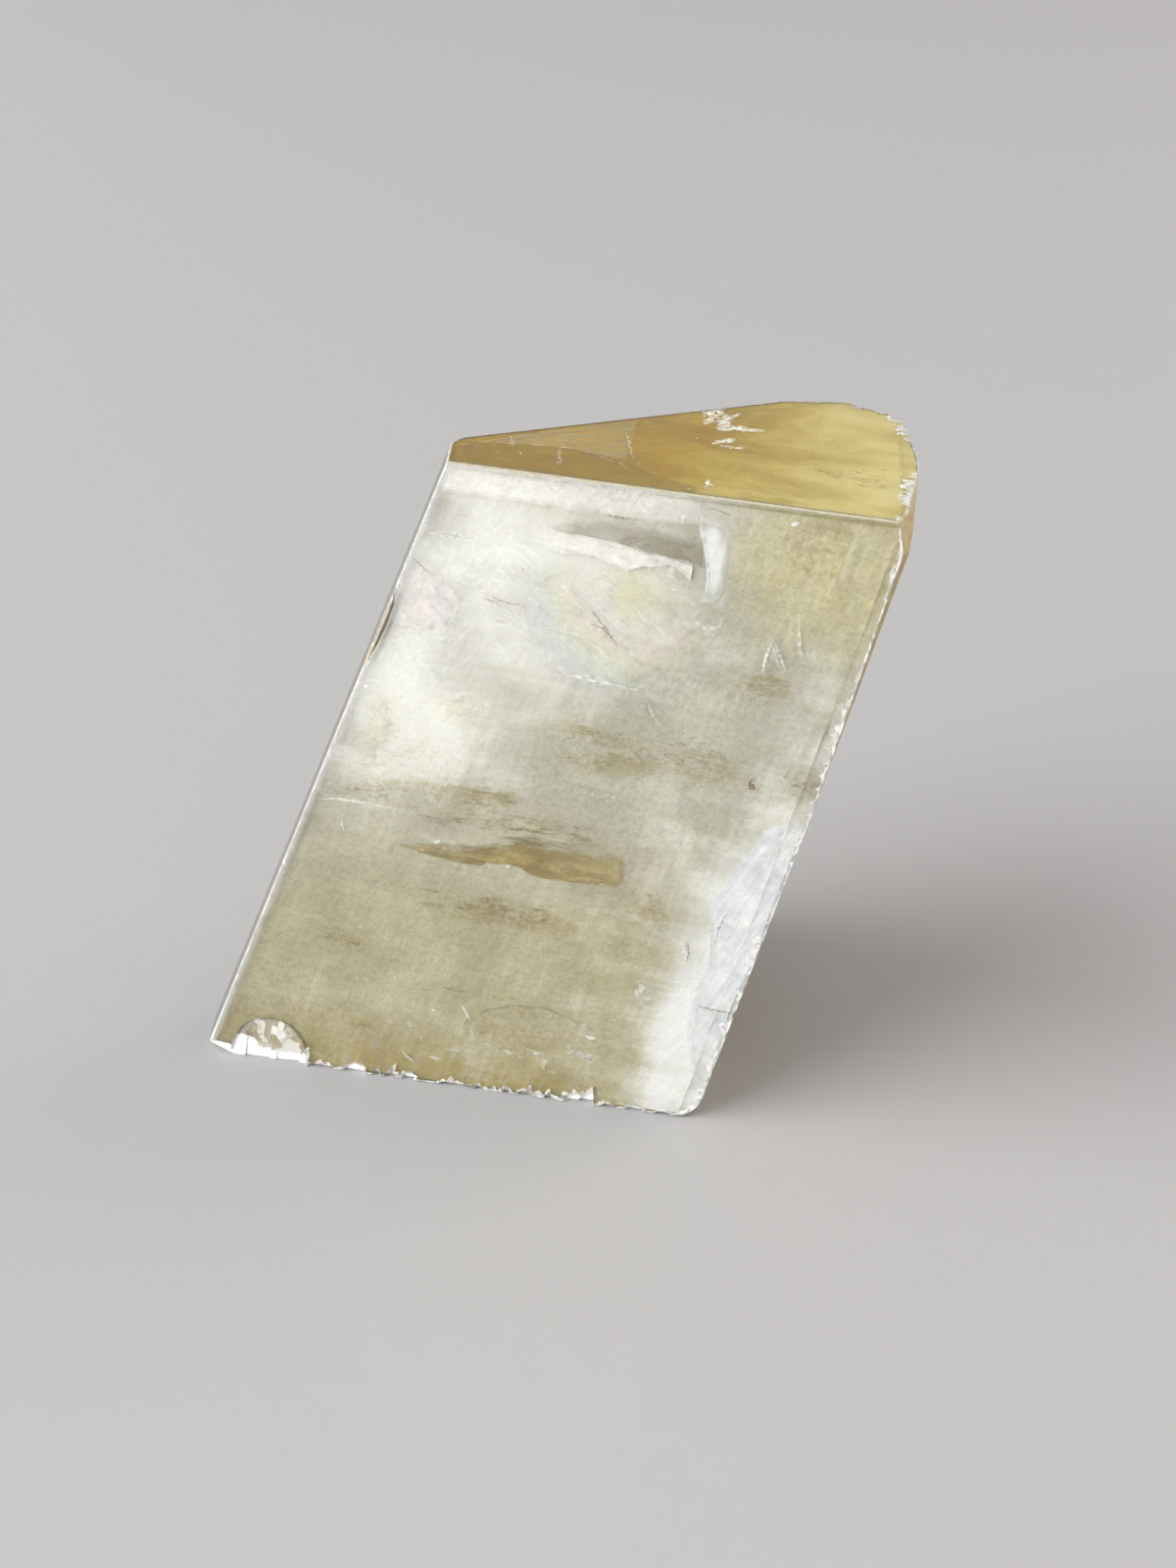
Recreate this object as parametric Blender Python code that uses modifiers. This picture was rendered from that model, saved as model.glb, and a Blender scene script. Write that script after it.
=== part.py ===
"""Honey calcite freeform: one see-through cleavage piece that stands on a flat base.

Metres, +Z up. The front face looks towards -Y and leans back; the origin is at the
bottom centre of the bounding box. The stone is worked out from its lower front left
corner and is moved to the origin at the end.
"""
import math
import random

import bmesh
import bpy
from mathutils import Matrix, Vector

# Driving dimensions, in metres and degrees.
FRONT_WIDTH = 0.0500
LEFT_HEIGHT = 0.0584
TOP_FALL_DEG = 2.9
FRONT_LEAN_DEG = 15.08
LEFT_EDGE_RUN = 0.0221
RIGHT_EDGE_RUN = 0.0167
LEFT_DEPTH_TOP = 0.0068
LEFT_DEPTH_BASE = 0.0085
LEFT_TURN_DEG = 13.0
RIGHT_TURN_DEG = 8.3
BACK_TURN_DEG = 40.9
TIP_BREAK = (0.0012, 0.0035, 0.0028)
BASE_EDGE_RADIUS = 0.0020
BACK_LEFT_RADIUS = 0.0016
EDGE_WEAR = 0.00016

# The broken corner at the back right: a place in plan on each break where it meets the
# top face, measured from the lower front left corner, which way it faces and its undercut.
BREAKS = (
    {"at": (0.0517, 0.0479), "facing_deg": 109.5, "undercut_deg": 6.0},
    {"at": (0.0576, 0.0476), "facing_deg": 64.7, "undercut_deg": 17.0},
    {"at": (0.0629, 0.0384), "facing_deg": 13.6, "undercut_deg": 14.0},
)

# Flat breaks at the upper right front corner. Each passes through three points, given
# from that corner as distances leftwards along the front, back, and down the edge.
CORNER_BREAKS = (
    ((0.0009, 0.0, 0.0), (0.0, 0.0026, 0.0), (0.0, 0.0, 0.0278)),
    ((0.0022, 0.0, 0.0), (0.0, 0.0085, 0.0), (0.0, 0.0, 0.0046)),
    ((0.0008, 0.0075, 0.0), (0.0, 0.0145, 0.0), (0.0, 0.0075, 0.0016)),
)

# The chip at the lower left of the front: a round hollow whose floor slopes inwards to
# the base, and steps in it given as place across, place up, size and tilt.
CORNER_CHIP_AT = (0.0067, 0.0004)
CORNER_CHIP_RADIUS = 0.0040
CORNER_CHIP_DEPTH = 0.0008
CORNER_CHIP_TILT_DEG = 5.0
CORNER_CHIP_STEPS = (
    (0.0055, 0.0006, (0.0026, 0.0011, 0.0040), (9.0, 7.0, 2.0)),
    (0.0087, 0.0004, (0.0024, 0.0012, 0.0046), (10.0, 7.0, 7.0)),
    (0.0022, -0.0002, (0.0044, 0.0014, 0.0026), (26.0, 9.0, -10.0)),
)

# Chips along the lower front edge: place along the edge, width, height up the front, how
# many sides their outline has, and how far the tip leans to the right of the middle.
BASE_CHIPS = (
    (0.0122, 0.0034, 0.0006, 8, 0.0),
    (0.0157, 0.0030, 0.0012, 8, 0.0),
    (0.0179, 0.0012, 0.0011, 3, 0.0004),
    (0.0193, 0.0014, 0.0014, 3, 0.0006),
    (0.0212, 0.0021, 0.0009, 5, 0.0003),
    (0.0262, 0.0046, 0.0005, 8, 0.0),
    (0.0258, 0.0016, 0.0008, 6, 0.0),
    (0.0286, 0.0020, 0.0006, 3, -0.0002),
    (0.0312, 0.0008, 0.0006, 6, 0.0),
    (0.0331, 0.0018, 0.0006, 5, 0.0),
    (0.0335, 0.0010, 0.0013, 3, 0.0004),
    (0.0354, 0.0012, 0.0009, 3, 0.0004),
    (0.0383, 0.0034, 0.0010, 5, 0.0),
    (0.0391, 0.0022, 0.0023, 3, 0.0009),
    (0.0416, 0.0020, 0.0005, 8, 0.0),
    (0.0441, 0.0024, 0.0006, 5, 0.0),
    (0.0469, 0.0022, 0.0004, 8, 0.0),
)
BASE_CHIP_DEPTH = 0.0005
CHIP_FLOOR_SHARE = 0.7
CHIP_FLOOR_SLOPE = 0.35
BELOW_EDGE = 0.0002

# Wear on the left front edge: share of the edge's length from the base, and size.
LEFT_SCOOP = (0.735, (0.0016, 0.0022, 0.0085))
LEFT_NICK = (0.34, (0.0006, 0.0010, 0.0010))

# Chips down the right front edge: share of the edge's length from the base, and size.
RIGHT_CHIPS = (
    (0.10, 0.0011),
    (0.19, 0.0008),
    (0.31, 0.0009),
    (0.44, 0.0007),
    (0.62, 0.0013),
    (0.78, 0.0012),
)

# Chips round the back of the top face: place in plan and size.
TOP_CHIPS = (
    ((0.0603, 0.0459), 0.0017),
    ((0.0615, 0.0430), 0.0012),
    ((0.0627, 0.0397), 0.0014),
    ((0.0563, 0.0480), 0.0010),
    ((0.0431, 0.0421), 0.0008),
)

# Cleavage steps: which face they lie on (3 the right face, 4 the back), where their
# middle is along and up that face, their width, height and depth, and their turn.
CLEAVAGE_STEPS = (
    (4, 0.0530, 0.0060, 0.0380, 0.0300, 0.0011, 9.0),
    (4, 0.0580, 0.0330, 0.0260, 0.0290, 0.0006, 9.0),
    (4, 0.0090, 0.0030, 0.0240, 0.0200, 0.0007, 9.0),
    (3, 0.0270, 0.0060, 0.0300, 0.0220, 0.0008, -3.0),
    (3, 0.0330, 0.0300, 0.0160, 0.0300, 0.0005, -3.0),
)


def unit(x, y, z=0.0):
    return Vector((x, y, z)).normalized()


def in_plan(degrees):
    """Level direction at an angle from +X."""
    angle = math.radians(degrees)
    return Vector((math.cos(angle), math.sin(angle), 0.0))


LEAN = math.radians(FRONT_LEAN_DEG)
UP_FRONT = Vector((0.0, math.sin(LEAN), math.cos(LEAN)))
FRONT_NORMAL = Vector((0.0, -math.cos(LEAN), math.sin(LEAN)))
TOP_NORMAL = unit(math.sin(math.radians(TOP_FALL_DEG)), 0.0, math.cos(math.radians(TOP_FALL_DEG)))
BACKWARDS = LEFT_HEIGHT * math.tan(LEAN)
TOP_LEFT = Vector((LEFT_EDGE_RUN, BACKWARDS, LEFT_HEIGHT))
BASE_RIGHT = Vector((FRONT_WIDTH, 0.0, 0.0))
LEFT_EDGE = TOP_LEFT.normalized()
LEFT_BACKWARDS = in_plan(90.0 + LEFT_TURN_DEG)
RIGHT_BACKWARDS = in_plan(90.0 + RIGHT_TURN_DEG)


def height_of_top(x):
    """Height of the sloping top face over a place across the stone."""
    return LEFT_HEIGHT - (x - LEFT_EDGE_RUN) * math.tan(math.radians(TOP_FALL_DEG))


def right_edge_top():
    """Top of the right front edge, where the front face meets the top face."""
    x = FRONT_WIDTH + RIGHT_EDGE_RUN
    z = height_of_top(x)
    return Vector((x, z * math.tan(LEAN), z))


def clear_scene():
    for obj in list(bpy.data.objects):
        bpy.data.objects.remove(obj, do_unlink=True)


def new_collection(name):
    collection = bpy.data.collections.new(name)
    bpy.context.scene.collection.children.link(collection)
    return collection


def object_from(name, bm, collection):
    mesh = bpy.data.meshes.new(name)
    bm.to_mesh(mesh)
    bm.free()
    obj = bpy.data.objects.new(name, mesh)
    collection.objects.link(obj)
    return obj


def slice_off(bm, point, normal):
    """Cuts away what lies beyond a plane and closes the cut with one face."""
    geometry = bm.verts[:] + bm.edges[:] + bm.faces[:]
    cut = bmesh.ops.bisect_plane(
        bm, geom=geometry, dist=1e-7, plane_co=point, plane_no=normal, clear_outer=True
    )
    rim = [e for e in cut["geom_cut"] if isinstance(e, bmesh.types.BMEdge)]
    bmesh.ops.contextual_create(bm, geom=rim)


def face_planes():
    """A point and an outward normal for each flat face above the base."""
    right_edge = (right_edge_top() - BASE_RIGHT).normalized()
    back_base = LEFT_BACKWARDS * LEFT_DEPTH_BASE
    back_top = TOP_LEFT + LEFT_BACKWARDS * LEFT_DEPTH_TOP
    back_edge = (back_top - back_base).normalized()
    planes = [
        (Vector(), FRONT_NORMAL),
        (TOP_LEFT, TOP_NORMAL),
        (Vector(), LEFT_EDGE.cross(LEFT_BACKWARDS)),
        (BASE_RIGHT, RIGHT_BACKWARDS.cross(right_edge)),
        (back_base, back_edge.cross(in_plan(BACK_TURN_DEG))),
    ]
    for spot in BREAKS:
        x, y = spot["at"]
        undercut = math.radians(spot["undercut_deg"])
        normal = in_plan(spot["facing_deg"]) * math.cos(undercut)
        normal.z = -math.sin(undercut)
        planes.append((Vector((x, y, height_of_top(x))), normal))
    return planes + corner_breaks()


def plane_through(first, second, third, away_from):
    """Point and normal of a plane through three points, facing away from a fourth."""
    normal = (second - first).cross(third - first).normalized()
    if normal.dot(away_from - first) > 0.0:
        normal = -normal
    return first, normal


def corner_breaks():
    """Flat breaks at the upper right front corner, and the snapped tip at the lower left."""
    corner = right_edge_top()
    inside = Vector((FRONT_WIDTH / 2.0, FRONT_WIDTH / 4.0, LEFT_HEIGHT / 2.0))
    leftwards = (TOP_LEFT - corner).normalized()
    downwards = (BASE_RIGHT - corner).normalized()
    breaks = []
    for spots in CORNER_BREAKS:
        points = [corner + leftwards * a + RIGHT_BACKWARDS * b + downwards * d for a, b, d in spots]
        breaks.append(plane_through(*points, inside))
    up, across, back = TIP_BREAK
    tip = (LEFT_EDGE * up, Vector((across, 0.0, 0.0)), LEFT_BACKWARDS * back)
    breaks.append(plane_through(*tip, inside))
    return breaks


def edge_between(bm, first, second):
    """The edge whose two faces point along the two given normals."""
    for edge in bm.edges:
        normals = [face.normal for face in edge.link_faces]
        if len(normals) == 2:
            straight = normals[0].dot(first) > 0.999 and normals[1].dot(second) > 0.999
            swapped = normals[1].dot(first) > 0.999 and normals[0].dot(second) > 0.999
            if straight or swapped:
                return edge
    raise ValueError("no such edge")


def round_edge(bm, first, second, radius):
    edge = edge_between(bm, first, second)
    bmesh.ops.bevel(bm, geom=[edge], offset=radius, segments=4, profile=0.5, affect="EDGES")
    bm.normal_update()


def stone_body(collection):
    """The cleaved block: a big cube sliced by the stone's faces, two edges rounded."""
    bm = bmesh.new()
    block = 4.0 * FRONT_WIDTH
    bmesh.ops.create_cube(bm, size=block, matrix=Matrix.Translation((0.0, 0.0, block / 2.0)))
    planes = face_planes()
    for point, normal in planes:
        slice_off(bm, point, normal.normalized())
    bmesh.ops.recalc_face_normals(bm, faces=bm.faces)
    bm.normal_update()
    left, right, back = (planes[i][1].normalized() for i in (2, 3, 4))
    round_edge(bm, Vector((0.0, 0.0, -1.0)), right, BASE_EDGE_RADIUS)
    round_edge(bm, left, back, BACK_LEFT_RADIUS)
    return object_from("honey_calcite", bm, collection)


def front_frame(x, up):
    """Axes of the front face at a place on it: across, into the stone, up the face."""
    place = Vector((x, 0.0, 0.0)) + UP_FRONT * up
    inward = -FRONT_NORMAL
    columns = (Vector((1.0, 0.0, 0.0)), inward, UP_FRONT)
    turn = Matrix((columns[0], columns[1], columns[2])).transposed().to_4x4()
    return Matrix.Translation(place) @ turn


def box_cutter(name, frame, size, tilt, collection):
    """A box of a given size, tilted about its own axes and set in a frame."""
    bm = bmesh.new()
    bmesh.ops.create_cube(bm, size=1.0)
    bmesh.ops.scale(bm, vec=size, verts=bm.verts)
    turn = Matrix.Rotation(math.radians(tilt[2]), 4, "Z")
    turn = turn @ Matrix.Rotation(math.radians(tilt[1]), 4, "Y")
    turn = turn @ Matrix.Rotation(math.radians(tilt[0]), 4, "X")
    bmesh.ops.transform(bm, matrix=frame @ turn, verts=bm.verts)
    return mark_cutter(object_from(name, bm, collection))


def mark_cutter(obj):
    obj.hide_render = True
    obj.display_type = "WIRE"
    return obj


def scoop_cutter(name, frame, size, sides, collection):
    """A flattened ball that leaves a shell-shaped hollow."""
    bm = bmesh.new()
    bmesh.ops.create_uvsphere(bm, u_segments=sides, v_segments=sides // 2, radius=0.5)
    bmesh.ops.scale(bm, vec=size, verts=bm.verts)
    bmesh.ops.transform(bm, matrix=frame, verts=bm.verts)
    return mark_cutter(object_from(name, bm, collection))


def flake_cutter(name, frame, size, sides, collection):
    """A squat cone with few sides that leaves a small flat-floored chip."""
    bm = bmesh.new()
    bmesh.ops.create_cone(
        bm, cap_ends=True, segments=sides, radius1=0.5, radius2=0.12, depth=1.0
    )
    bmesh.ops.scale(bm, vec=size, verts=bm.verts)
    bmesh.ops.transform(bm, matrix=frame, verts=bm.verts)
    return mark_cutter(object_from(name, bm, collection))


def corner_chip_cutters(collection):
    """The stepped chip at the lower left of the front: a round hollow and three steps."""
    cutters = []
    for number, (x, up, size, tilt) in enumerate(CORNER_CHIP_STEPS, 1):
        frame = front_frame(x, up)
        cutters.append(box_cutter(f"chip_step_{number}", frame, size, tilt, collection))
    bm = bmesh.new()
    radius = CORNER_CHIP_RADIUS
    bmesh.ops.create_cone(
        bm, cap_ends=True, segments=28, radius1=radius, radius2=radius, depth=CORNER_CHIP_DEPTH
    )
    turn = Matrix.Rotation(math.radians(90.0 + CORNER_CHIP_TILT_DEG), 4, "X")
    bmesh.ops.transform(bm, matrix=front_frame(*CORNER_CHIP_AT) @ turn, verts=bm.verts)
    cutters.append(mark_cutter(object_from("chip_hollow", bm, collection)))
    return cutters


def base_chip_cutter(name, x, width, height, sides, lean, depth, collection):
    """A flake with a few-sided outline on the front and a floor that slopes in to the base."""
    upright = Matrix.Rotation(math.pi, 4, "Y") @ Matrix.Rotation(-0.5 * math.pi, 4, "X")
    bm = bmesh.new()
    bmesh.ops.create_cone(
        bm,
        cap_ends=True,
        segments=sides,
        radius1=0.5,
        radius2=0.5 * CHIP_FLOOR_SHARE,
        depth=1.0,
        matrix=upright,
    )
    low = min(vert.co.z for vert in bm.verts)
    high = max(vert.co.z for vert in bm.verts)
    half_width = max(vert.co.x for vert in bm.verts)
    pointed = sides <= 5
    stretch = (height + BELOW_EDGE) / (high - low) if pointed else height / high
    bmesh.ops.scale(bm, vec=(0.5 * width / half_width, 2.0 * depth, stretch), verts=bm.verts)
    for vert in bm.verts:
        if pointed:
            vert.co.z -= stretch * low + BELOW_EDGE
        vert.co.x += lean * vert.co.z / height
        vert.co.y += CHIP_FLOOR_SLOPE * (0.5 * height - vert.co.z)
    bmesh.ops.transform(bm, matrix=front_frame(x, 0.0), verts=bm.verts)
    return mark_cutter(object_from(name, bm, collection))


def base_chip_cutters(collection, draw):
    """Small flakes broken from the lower front edge."""
    cutters = []
    for number, chip in enumerate(BASE_CHIPS, 1):
        depth = BASE_CHIP_DEPTH * draw.uniform(0.8, 1.2)
        cutters.append(base_chip_cutter(f"base_chip_{number}", *chip, depth, collection))
    return cutters


def right_chip_cutters(collection, draw):
    """Small flakes broken from the right front edge."""
    cutters = []
    top = right_edge_top()
    for number, (share, size) in enumerate(RIGHT_CHIPS, 1):
        place = BASE_RIGHT.lerp(top, share)
        turn = Matrix.Rotation(draw.uniform(0.0, math.pi), 4, "Z")
        turn = turn @ Matrix.Rotation(draw.uniform(-0.5, 0.5), 4, "X")
        frame = Matrix.Translation(place) @ turn
        shape = (0.8 * size, 0.9 * size, 1.9 * size)
        cutters.append(flake_cutter(f"right_chip_{number}", frame, shape, 5, collection))
    return cutters


def top_chip_cutters(collection, draw):
    """Flakes broken from the rim of the top face."""
    cutters = []
    for number, ((x, y), size) in enumerate(TOP_CHIPS, 1):
        place = Vector((x, y, height_of_top(x)))
        turn = Matrix.Rotation(draw.uniform(0.0, math.pi), 4, "Z")
        turn = turn @ Matrix.Rotation(draw.uniform(-0.4, 0.4), 4, "Y")
        frame = Matrix.Translation(place) @ turn
        shape = (1.9 * size, 1.3 * size, 0.9 * size)
        cutters.append(flake_cutter(f"top_chip_{number}", frame, shape, 6, collection))
    return cutters


def left_edge_cutters(collection):
    """A shallow scoop and a nick down the left front edge."""
    turn = Matrix((Vector((1.0, 0.0, 0.0)), LEFT_BACKWARDS, LEFT_EDGE)).transposed().to_4x4()
    share, size = LEFT_SCOOP
    frame = Matrix.Translation(TOP_LEFT * share) @ turn
    cutters = [scoop_cutter("left_scoop", frame, size, 12, collection)]
    share, size = LEFT_NICK
    frame = Matrix.Translation(TOP_LEFT * share) @ turn
    cutters.append(flake_cutter("left_nick", frame, size, 4, collection))
    return cutters


def cleavage_step_cutters(collection):
    """Thin slabs split from the back and the right face, which leave low ledges."""
    planes = face_planes()
    level = {3: RIGHT_BACKWARDS, 4: in_plan(BACK_TURN_DEG)}
    cutters = []
    for number, (face, along, up, width, height, depth, turn_deg) in enumerate(CLEAVAGE_STEPS, 1):
        point, normal = planes[face]
        normal = normal.normalized()
        across = level[face]
        upward = across.cross(normal)
        if upward.z < 0.0:
            upward = -upward
        place = point + across * along + upward * up
        turn = Matrix((normal.cross(upward), normal, upward)).transposed().to_4x4()
        frame = Matrix.Translation(place) @ turn
        size = (width, 2.0 * depth, height)
        name = f"cleavage_step_{number}"
        cutters.append(box_cutter(name, frame, size, (0.8, turn_deg, 0.5), collection))
    return cutters


def cut_all(stone, tools):
    """Takes every cutter out of the stone in one exact cut."""
    cut = stone.modifiers.new("chips_and_ledges", "BOOLEAN")
    cut.operation = "DIFFERENCE"
    cut.operand_type = "COLLECTION"
    cut.collection = tools
    cut.solver = "EXACT"


def soften_edges(stone):
    """The fine wear that every edge of a handled stone shows."""
    wear = stone.modifiers.new("edge_wear", "BEVEL")
    wear.width = EDGE_WEAR
    wear.segments = 2
    wear.limit_method = "ANGLE"
    wear.angle_limit = math.radians(30.0)
    wear.use_clamp_overlap = True


def stand_on_origin(objects, stone):
    """Moves the model so that the stone's base centre is at the origin."""
    bpy.context.view_layer.update()
    corners = [stone.matrix_world @ Vector(corner) for corner in stone.bound_box]
    middle_x = (min(c.x for c in corners) + max(c.x for c in corners)) / 2.0
    middle_y = (min(c.y for c in corners) + max(c.y for c in corners)) / 2.0
    for obj in objects:
        obj.data.transform(Matrix.Translation((-middle_x, -middle_y, 0.0)))


def honey_material():
    """Clear pale honey crystal."""
    material = bpy.data.materials.new("honey_calcite_crystal")
    material.use_nodes = True
    shader = material.node_tree.nodes["Principled BSDF"]
    shader.inputs["Base Color"].default_value = (0.93, 0.86, 0.62, 1.0)
    shader.inputs["Metallic"].default_value = 0.0
    shader.inputs["Roughness"].default_value = 0.12
    shader.inputs["IOR"].default_value = 1.60
    shader.inputs["Transmission Weight"].default_value = 1.0
    return material


def main():
    clear_scene()
    parts = new_collection("honey calcite freeform")
    tools = new_collection("cutters")
    draw = random.Random(7)
    stone = stone_body(parts)
    cutters = left_edge_cutters(tools)
    cutters += corner_chip_cutters(tools)
    cutters += base_chip_cutters(tools, draw)
    cutters += right_chip_cutters(tools, draw)
    cutters += top_chip_cutters(tools, draw)
    cutters += cleavage_step_cutters(tools)
    soften_edges(stone)
    cut_all(stone, tools)
    stone.data.materials.append(honey_material())
    stand_on_origin([stone] + cutters, stone)


main()
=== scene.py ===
import math

import bmesh
import bpy
import numpy as np
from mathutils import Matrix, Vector


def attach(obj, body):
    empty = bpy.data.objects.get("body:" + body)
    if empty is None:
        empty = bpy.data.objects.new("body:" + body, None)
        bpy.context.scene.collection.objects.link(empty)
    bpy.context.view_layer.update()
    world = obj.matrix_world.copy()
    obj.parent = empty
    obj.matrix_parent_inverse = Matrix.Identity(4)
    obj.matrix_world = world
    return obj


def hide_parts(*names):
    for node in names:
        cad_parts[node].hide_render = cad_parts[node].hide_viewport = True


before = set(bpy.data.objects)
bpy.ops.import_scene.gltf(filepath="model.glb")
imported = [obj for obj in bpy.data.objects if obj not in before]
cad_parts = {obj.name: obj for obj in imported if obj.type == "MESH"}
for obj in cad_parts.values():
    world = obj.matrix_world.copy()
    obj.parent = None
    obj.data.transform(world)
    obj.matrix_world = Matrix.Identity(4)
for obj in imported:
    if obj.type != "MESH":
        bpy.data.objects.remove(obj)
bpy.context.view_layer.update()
scene = bpy.context.scene
seeded = np.random.default_rng
print("frame loaded")

# the stone's front: lower left corner in metres and lean; in mm its width, the height of its left side, how far
# each slanting side runs across and up the face; the top's fall; the share of a stated depth that is used
stone = {
    "node": "honey_calcite",
    "corner": (-0.03195, -0.02447, 0.0),
    "leanDeg": 15.08,
    "frontWidth": 50.0,
    "leftHeight": 58.4,
    "leftRun": 22.1,
    "leftUp": 60.5,
    "rightRun": 16.7,
    "rightUp": 58.3,
    "topFallDeg": 2.9,
    "depthShare": 0.5,
    # the places that the sheets of the front and of the top are drawn round, in mm
    "frontMiddle": (33.0, 29.0),
    "topMiddle": (44.0, 27.0),
}
leanRad, topFallRad = math.radians(stone["leanDeg"]), math.radians(stone["topFallDeg"])
corner = np.array(stone["corner"])
across = np.array([1.0, 0.0, 0.0])
upFront = np.array([0.0, math.sin(leanRad), math.cos(leanRad)])
inwards = np.array([0.0, math.cos(leanRad), -math.sin(leanRad)])
rearwards = np.array([0.0, 1.0, 0.0])
downTop = np.array([math.cos(topFallRad), 0.0, -math.sin(topFallRad)])
topFacing = np.array([math.sin(topFallRad), 0.0, math.cos(topFallRad)])
leftSlope = stone["leftRun"] / stone["leftUp"]
rightSlope = stone["rightRun"] / stone["rightUp"]


# a place behind the front: x mm across, up mm up the face, and depth times the depth share mm into the stone
def onFront(x, up, depth):
    x, up, depth = np.broadcast_arrays(x, up, stone["depthShare"] * depth)
    return corner + 0.001 * (x[..., None] * across + up[..., None] * upFront + depth[..., None] * inwards)


# a place under the top face: x and y mm in plan from the corner, below mm under the face
def underTop(x, y, below):
    fall = (x - stone["leftRun"]) * math.tan(topFallRad)
    return corner + 0.001 * together(x, y, stone["leftHeight"] - fall - below)


# the two slanting edges of the front, in mm across at a height up the face
def leftEdge(up):
    return leftSlope * up


def rightEdge(up):
    return stone["frontWidth"] + rightSlope * up


# points in metres as mm across, up the front and into the stone
def toPlace(points):
    away = (points - corner) * 1000.0
    return np.stack([away @ across, away @ upFront, away @ inwards], axis=-1)


def vertexPoints(mesh):
    points = np.empty(len(mesh.vertices) * 3)
    mesh.vertices.foreach_get("co", points)
    return points.reshape(-1, 3)


# a vector for each vertex, for the materials to read
def addVectors(mesh, name, vectors):
    layer = mesh.attributes.new(name, "FLOAT_VECTOR", "POINT")
    layer.data.foreach_set("vector", np.ascontiguousarray(vectors, dtype=float).ravel())


def addObject(name, data):
    thing = bpy.data.objects.new(name, data)
    scene.collection.objects.link(thing)
    return thing


# numbers and arrays, repeated to one shape, as vectors
def together(*values):
    return np.stack(np.broadcast_arrays(*values), axis=-1)


# a stack of grids (piece, row, column) as one mesh of quads; own is each vertex's place in its piece
def gridObject(name, points, own, material, ringed=False):
    pieces, rows, columns = points.shape[:3]
    index = np.arange(pieces * rows * columns).reshape(pieces, rows, columns)
    if ringed:
        index = np.concatenate([index, index[:, :, :1]], axis=2)
    quads = np.stack([index[:, :-1, :-1], index[:, :-1, 1:], index[:, 1:, 1:], index[:, 1:, :-1]], axis=-1)
    mesh = bpy.data.meshes.new(name)
    mesh.from_pydata(points.reshape(-1, 3).tolist(), [], quads.reshape(-1, 4).tolist())
    addVectors(mesh, "own", own)
    addVectors(mesh, "place", toPlace(vertexPoints(mesh)))
    mesh.polygons.foreach_set("use_smooth", [True] * len(mesh.polygons))
    mesh.update()
    mesh.materials.append(material)
    piece = addObject(name, mesh)
    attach(piece, "root")


# how far each heading goes from a point inside to the skin, less a margin: ray t = (a - p).n / h.n,
# kept where the crossing's two shares of the triangle's sides are positive and sum to less than 1
def toSkin(middle, headings, margin):
    a, b, c = (skin["triangles"][:, k] for k in range(3))
    one, two = b - a, c - a
    normal = np.cross(one, two)
    slope = headings @ normal.T
    t = ((a - middle) * normal).sum(axis=1) / np.where(np.abs(slope) < 1e-15, 1e-15, slope)
    away = middle + t[..., None] * headings[:, None] - a
    oo, ot, tt = (one * one).sum(axis=1), (one * two).sum(axis=1), (two * two).sum(axis=1)
    po, pt = (away * one).sum(axis=2), (away * two).sum(axis=2)
    size = oo * tt - ot * ot
    u, v = (tt * po - ot * pt) / size, (oo * pt - ot * po) / size
    crossed = (t > 0) & (u > -1e-6) & (v > -1e-6) & (u + v < 1 + 1e-6)
    t = np.where(crossed, t, np.inf)
    first = t.argmin(axis=1)
    rays = np.arange(len(headings))
    steep = np.abs(slope[rays, first]) / np.linalg.norm(normal[first], axis=1)
    return t[rays, first] - margin / np.maximum(steep, 0.3)


# a value or a socket for each named input of a node
def feed(node, **values):
    for name, value in values.items():
        feedAt(node, name.replace("_", " "), value)


def feedAt(node, place, value):
    socket = node.inputs[place]
    if isinstance(value, bpy.types.NodeSocket):
        node.id_data.links.new(value, socket)
    else:
        socket.default_value = (*value, 1.0) if socket.type == "RGBA" else value


# a new node in the material that its first linked term belongs to
def nodeFor(kind, *terms):
    tree = next(term.id_data for term in terms if isinstance(term, bpy.types.NodeSocket))
    return tree.nodes.new("ShaderNode" + kind)


def newMaterial(name):
    material = bpy.data.materials.new(name)
    material.use_nodes = True
    return material, material.node_tree, material.node_tree.nodes["Principled BSDF"]


def attribute(tree, name="place"):
    node = tree.nodes.new("ShaderNodeAttribute")
    node.attribute_name = name
    return node.outputs["Vector"]


def parts(vector):
    node = nodeFor("SeparateXYZ", vector)
    feedAt(node, 0, vector)
    return node.outputs[0], node.outputs[1], node.outputs[2]


def calc(operation, a, b, clamp=False):
    node = nodeFor("Math", a, b)
    node.operation = operation
    node.use_clamp = clamp
    feedAt(node, 0, a)
    feedAt(node, 1, b)
    return node.outputs[0]


def total(*terms):
    result = terms[0]
    for term in terms[1:]:
        result = calc("ADD", result, term)
    return result


def times(a, b):
    return calc("MULTIPLY", a, b)


# swing (value - 1/2): a term that swings evenly about 0
def swing(value, size):
    return times(calc("SUBTRACT", value, 0.5), size)


def vectorMath(operation, a, b=None):
    node = nodeFor("VectorMath", a, b)
    node.operation = operation
    feedAt(node, 0, a)
    if b is not None:
        feedAt(node, 1, b)
    return node.outputs["Value"] if operation in ("LENGTH", "DOT_PRODUCT") else node.outputs["Vector"]


# a vector turned about the third axis, then scaled on each, to stretch a texture along a grain
def stretch(vector, scale, turnDeg=0.0):
    turned = nodeFor("Mapping", vector)
    feed(turned, Vector=vector, Rotation=(0.0, 0.0, math.radians(turnDeg)))
    return vectorMath("MULTIPLY", turned.outputs[0], scale)


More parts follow.
